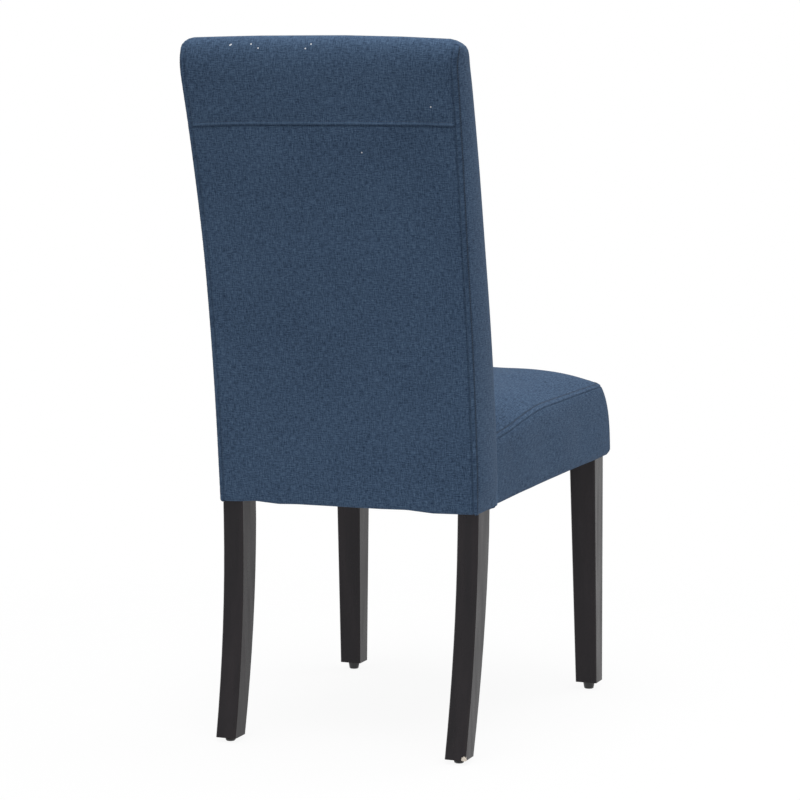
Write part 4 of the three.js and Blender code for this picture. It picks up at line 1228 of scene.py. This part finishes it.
def at_leg_or_rail(centre, normal):
    """Picks the faces over the front legs' tops and against the back's mounting rail."""
    depth = centre.y - leg_line
    height = centre.z - seat_base + seat_slope * depth
    at_leg = (leg_inside < abs(centre.x) < leg_outside and -cut_clear < depth < leg_behind
              and height < cut_clear)
    return at_leg or (abs(centre.x) < rail_half and height < rail_top and normal.y > 0.5)


cut_away(seat_mesh, at_leg_or_rail)
seat_piece = add_piece("seat_cover_sewn", seat_mesh, cloth, cloth_thickness)
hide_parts("seat_cover", "seat_foam")


# The dust cover: black non-woven cloth stapled over the seat frame's underside, cut out round
# the front legs. It hangs 3 mm low in the middle and pulls up in small folds at its staples.
felt_black = ((0.010, 0.010, 0.011), (0.045, 0.045, 0.048))
felt_pitch = 0.0011
dust_thickness = 0.0005
dust_inset = 0.009
dust_front = dust_inset + seat_front
dust_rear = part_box("dust_cover")[1][1] - leg_line
dust_notch = (0.1757, 0.0443)
dust_notch_rows, dust_notch_columns = 10, 7
dust_under = 0.0007
dust_sag, dust_sag_reach = 0.003, 0.2
fold_height, fold_reach = 0.0004, 0.012
staple_pitch = 0.033

dust_depth = np.concatenate([
    np.linspace(dust_front, dust_notch[1], dust_notch_rows + 1)[:-1],
    np.linspace(dust_notch[1], dust_rear, 74)])
dust_edge = seat_half(dust_depth) - dust_inset
inner_x = np.linspace(-1, 1, 65)[None, :] * dust_notch[0] + 0 * dust_edge[:, None]
outer_share = np.linspace(0, 1, dust_notch_columns + 1)[1:]
outer_x = dust_notch[0] + (dust_edge[:, None] - dust_notch[0]) * outer_share[None, :]
dust_x = np.concatenate([-outer_x[:, ::-1], inner_x, outer_x], axis=1)
depth = dust_depth[:, None] + 0 * dust_x
to_side = dust_edge[:, None] - np.abs(dust_x)
to_end = np.minimum(depth - dust_front, dust_rear - depth)
hang = np.clip(to_side / dust_sag_reach, 0, 1) * np.clip(to_end / dust_sag_reach, 0, 1)
folds = (np.cos(depth * 2 * math.pi / staple_pitch) * np.exp(-to_side / fold_reach)
         + np.cos(dust_x * 2 * math.pi / staple_pitch) * np.exp(-to_end / fold_reach))
drop = dust_under + dust_sag * np.sin(hang * math.pi / 2) + fold_height * (1 - folds)
dust_points = stacked(dust_x, depth + leg_line, seat_base - seat_slope * depth - drop)
rows, columns = dust_x.shape
row, column = np.meshgrid(np.arange(rows - 1), np.arange(columns - 1), indexing="ij")
beside = (column < dust_notch_columns) | (column >= columns - 1 - dust_notch_columns)
corner = (row * columns + column)[~((row < dust_notch_rows) & beside)]
dust_faces = stacked(corner, corner + columns, corner + columns + 1, corner + 1)
dust_mesh = new_mesh("dust_cover_sheet", dust_points, dust_faces.tolist())
with opened(dust_mesh) as whole:
    bmesh.ops.delete(whole, geom=[v for v in whole.verts if not v.link_faces], context="VERTS")

felted, surface, place = new_material("black_nonwoven_cloth")
parts = split(place)
bonded = times(*(wave(parts[axis], felt_pitch) for axis in (0, 1)))
fibres = noise(place, 700.0, 5.0, Distortion=1.2)
raised = plus(fibres, calculate("ABSOLUTE", bonded))
set_inputs(surface, {
    "Base Color": colour_between(spread(fibres, 0.35, 0.68), *felt_black),
    "Roughness": 0.88,
    "Normal": relief_of(raised, 0.00025, 0.6),
})
dust_piece = add_piece("dust_cover_sheet", dust_mesh, felted, dust_thickness)
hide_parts("dust_cover")


# The staples: flat zinc wire, driven in rows a thumb's width apart. They hold the dust cover
# along its four edges and the back's turned-under hem along its rear edge.
staple_half = 0.0050
staple_wide = 0.00062
staple_thick = 0.00032
staple_leg = 0.0016
staple_from_edge = 0.0045
staple_rings, staple_sides = 13, 8


def staple_shape():
    """One staple's points, along X with its legs up Z: an ellipse carried along a crown that
    turns up at both ends by 1 - (1 - t^16)^0.5."""
    run = np.linspace(-1, 1, staple_rings)[:, None]
    turn = np.linspace(0, 2 * math.pi, staple_sides, endpoint=False)[None, :]
    rise = staple_leg * (1 - np.sqrt(1 - np.clip(np.abs(run), 0, 0.999) ** 16))
    return stacked(run * staple_half, -staple_wide * np.sin(turn),
                   rise + staple_thick * np.cos(turn)).reshape(-1, 3)


side_depth = np.arange(2, 13) * staple_pitch
cross_x = np.arange(-5, 6) * staple_pitch
side_x = seat_half(side_depth) - dust_inset - staple_from_edge
edge_rows = (
    (side_x, side_depth, math.pi / 2), (-side_x, side_depth, math.pi / 2),
    (cross_x, dust_front + staple_from_edge, 0.0),
    (cross_x, dust_rear - staple_from_edge, 0.0),
)
rows_placed = [
    (across, depth + leg_line, seat_base - seat_slope * depth - dust_under - 0.0004, turn)
    for across, depth, turn in edge_rows]
hem_x = np.arange(-4, 5) * staple_pitch
rows_placed.append((
    hem_x, leg_line + back_hem_rear - 0.012, hem_level + hem_lift(hem_x) - 0.0001, 0.0))
staple_points = []
for across, behind, level, turn in rows_placed:
    cosine, sine = math.cos(turn), math.sin(turn)
    turned = staple_shape() @ np.array([[cosine, sine, 0], [-sine, cosine, 0], [0, 0, 1]])
    staple_points.append(turned[None] + stacked(across, behind, level)[:, None])
staple_points = np.concatenate(staple_points)
staple_faces = tube_faces(staple_rings, staple_sides, len(staple_points))
staple_mesh = new_mesh("dust_cover_staples", staple_points, staple_faces)
add_piece("dust_cover_staples", staple_mesh, zinc)
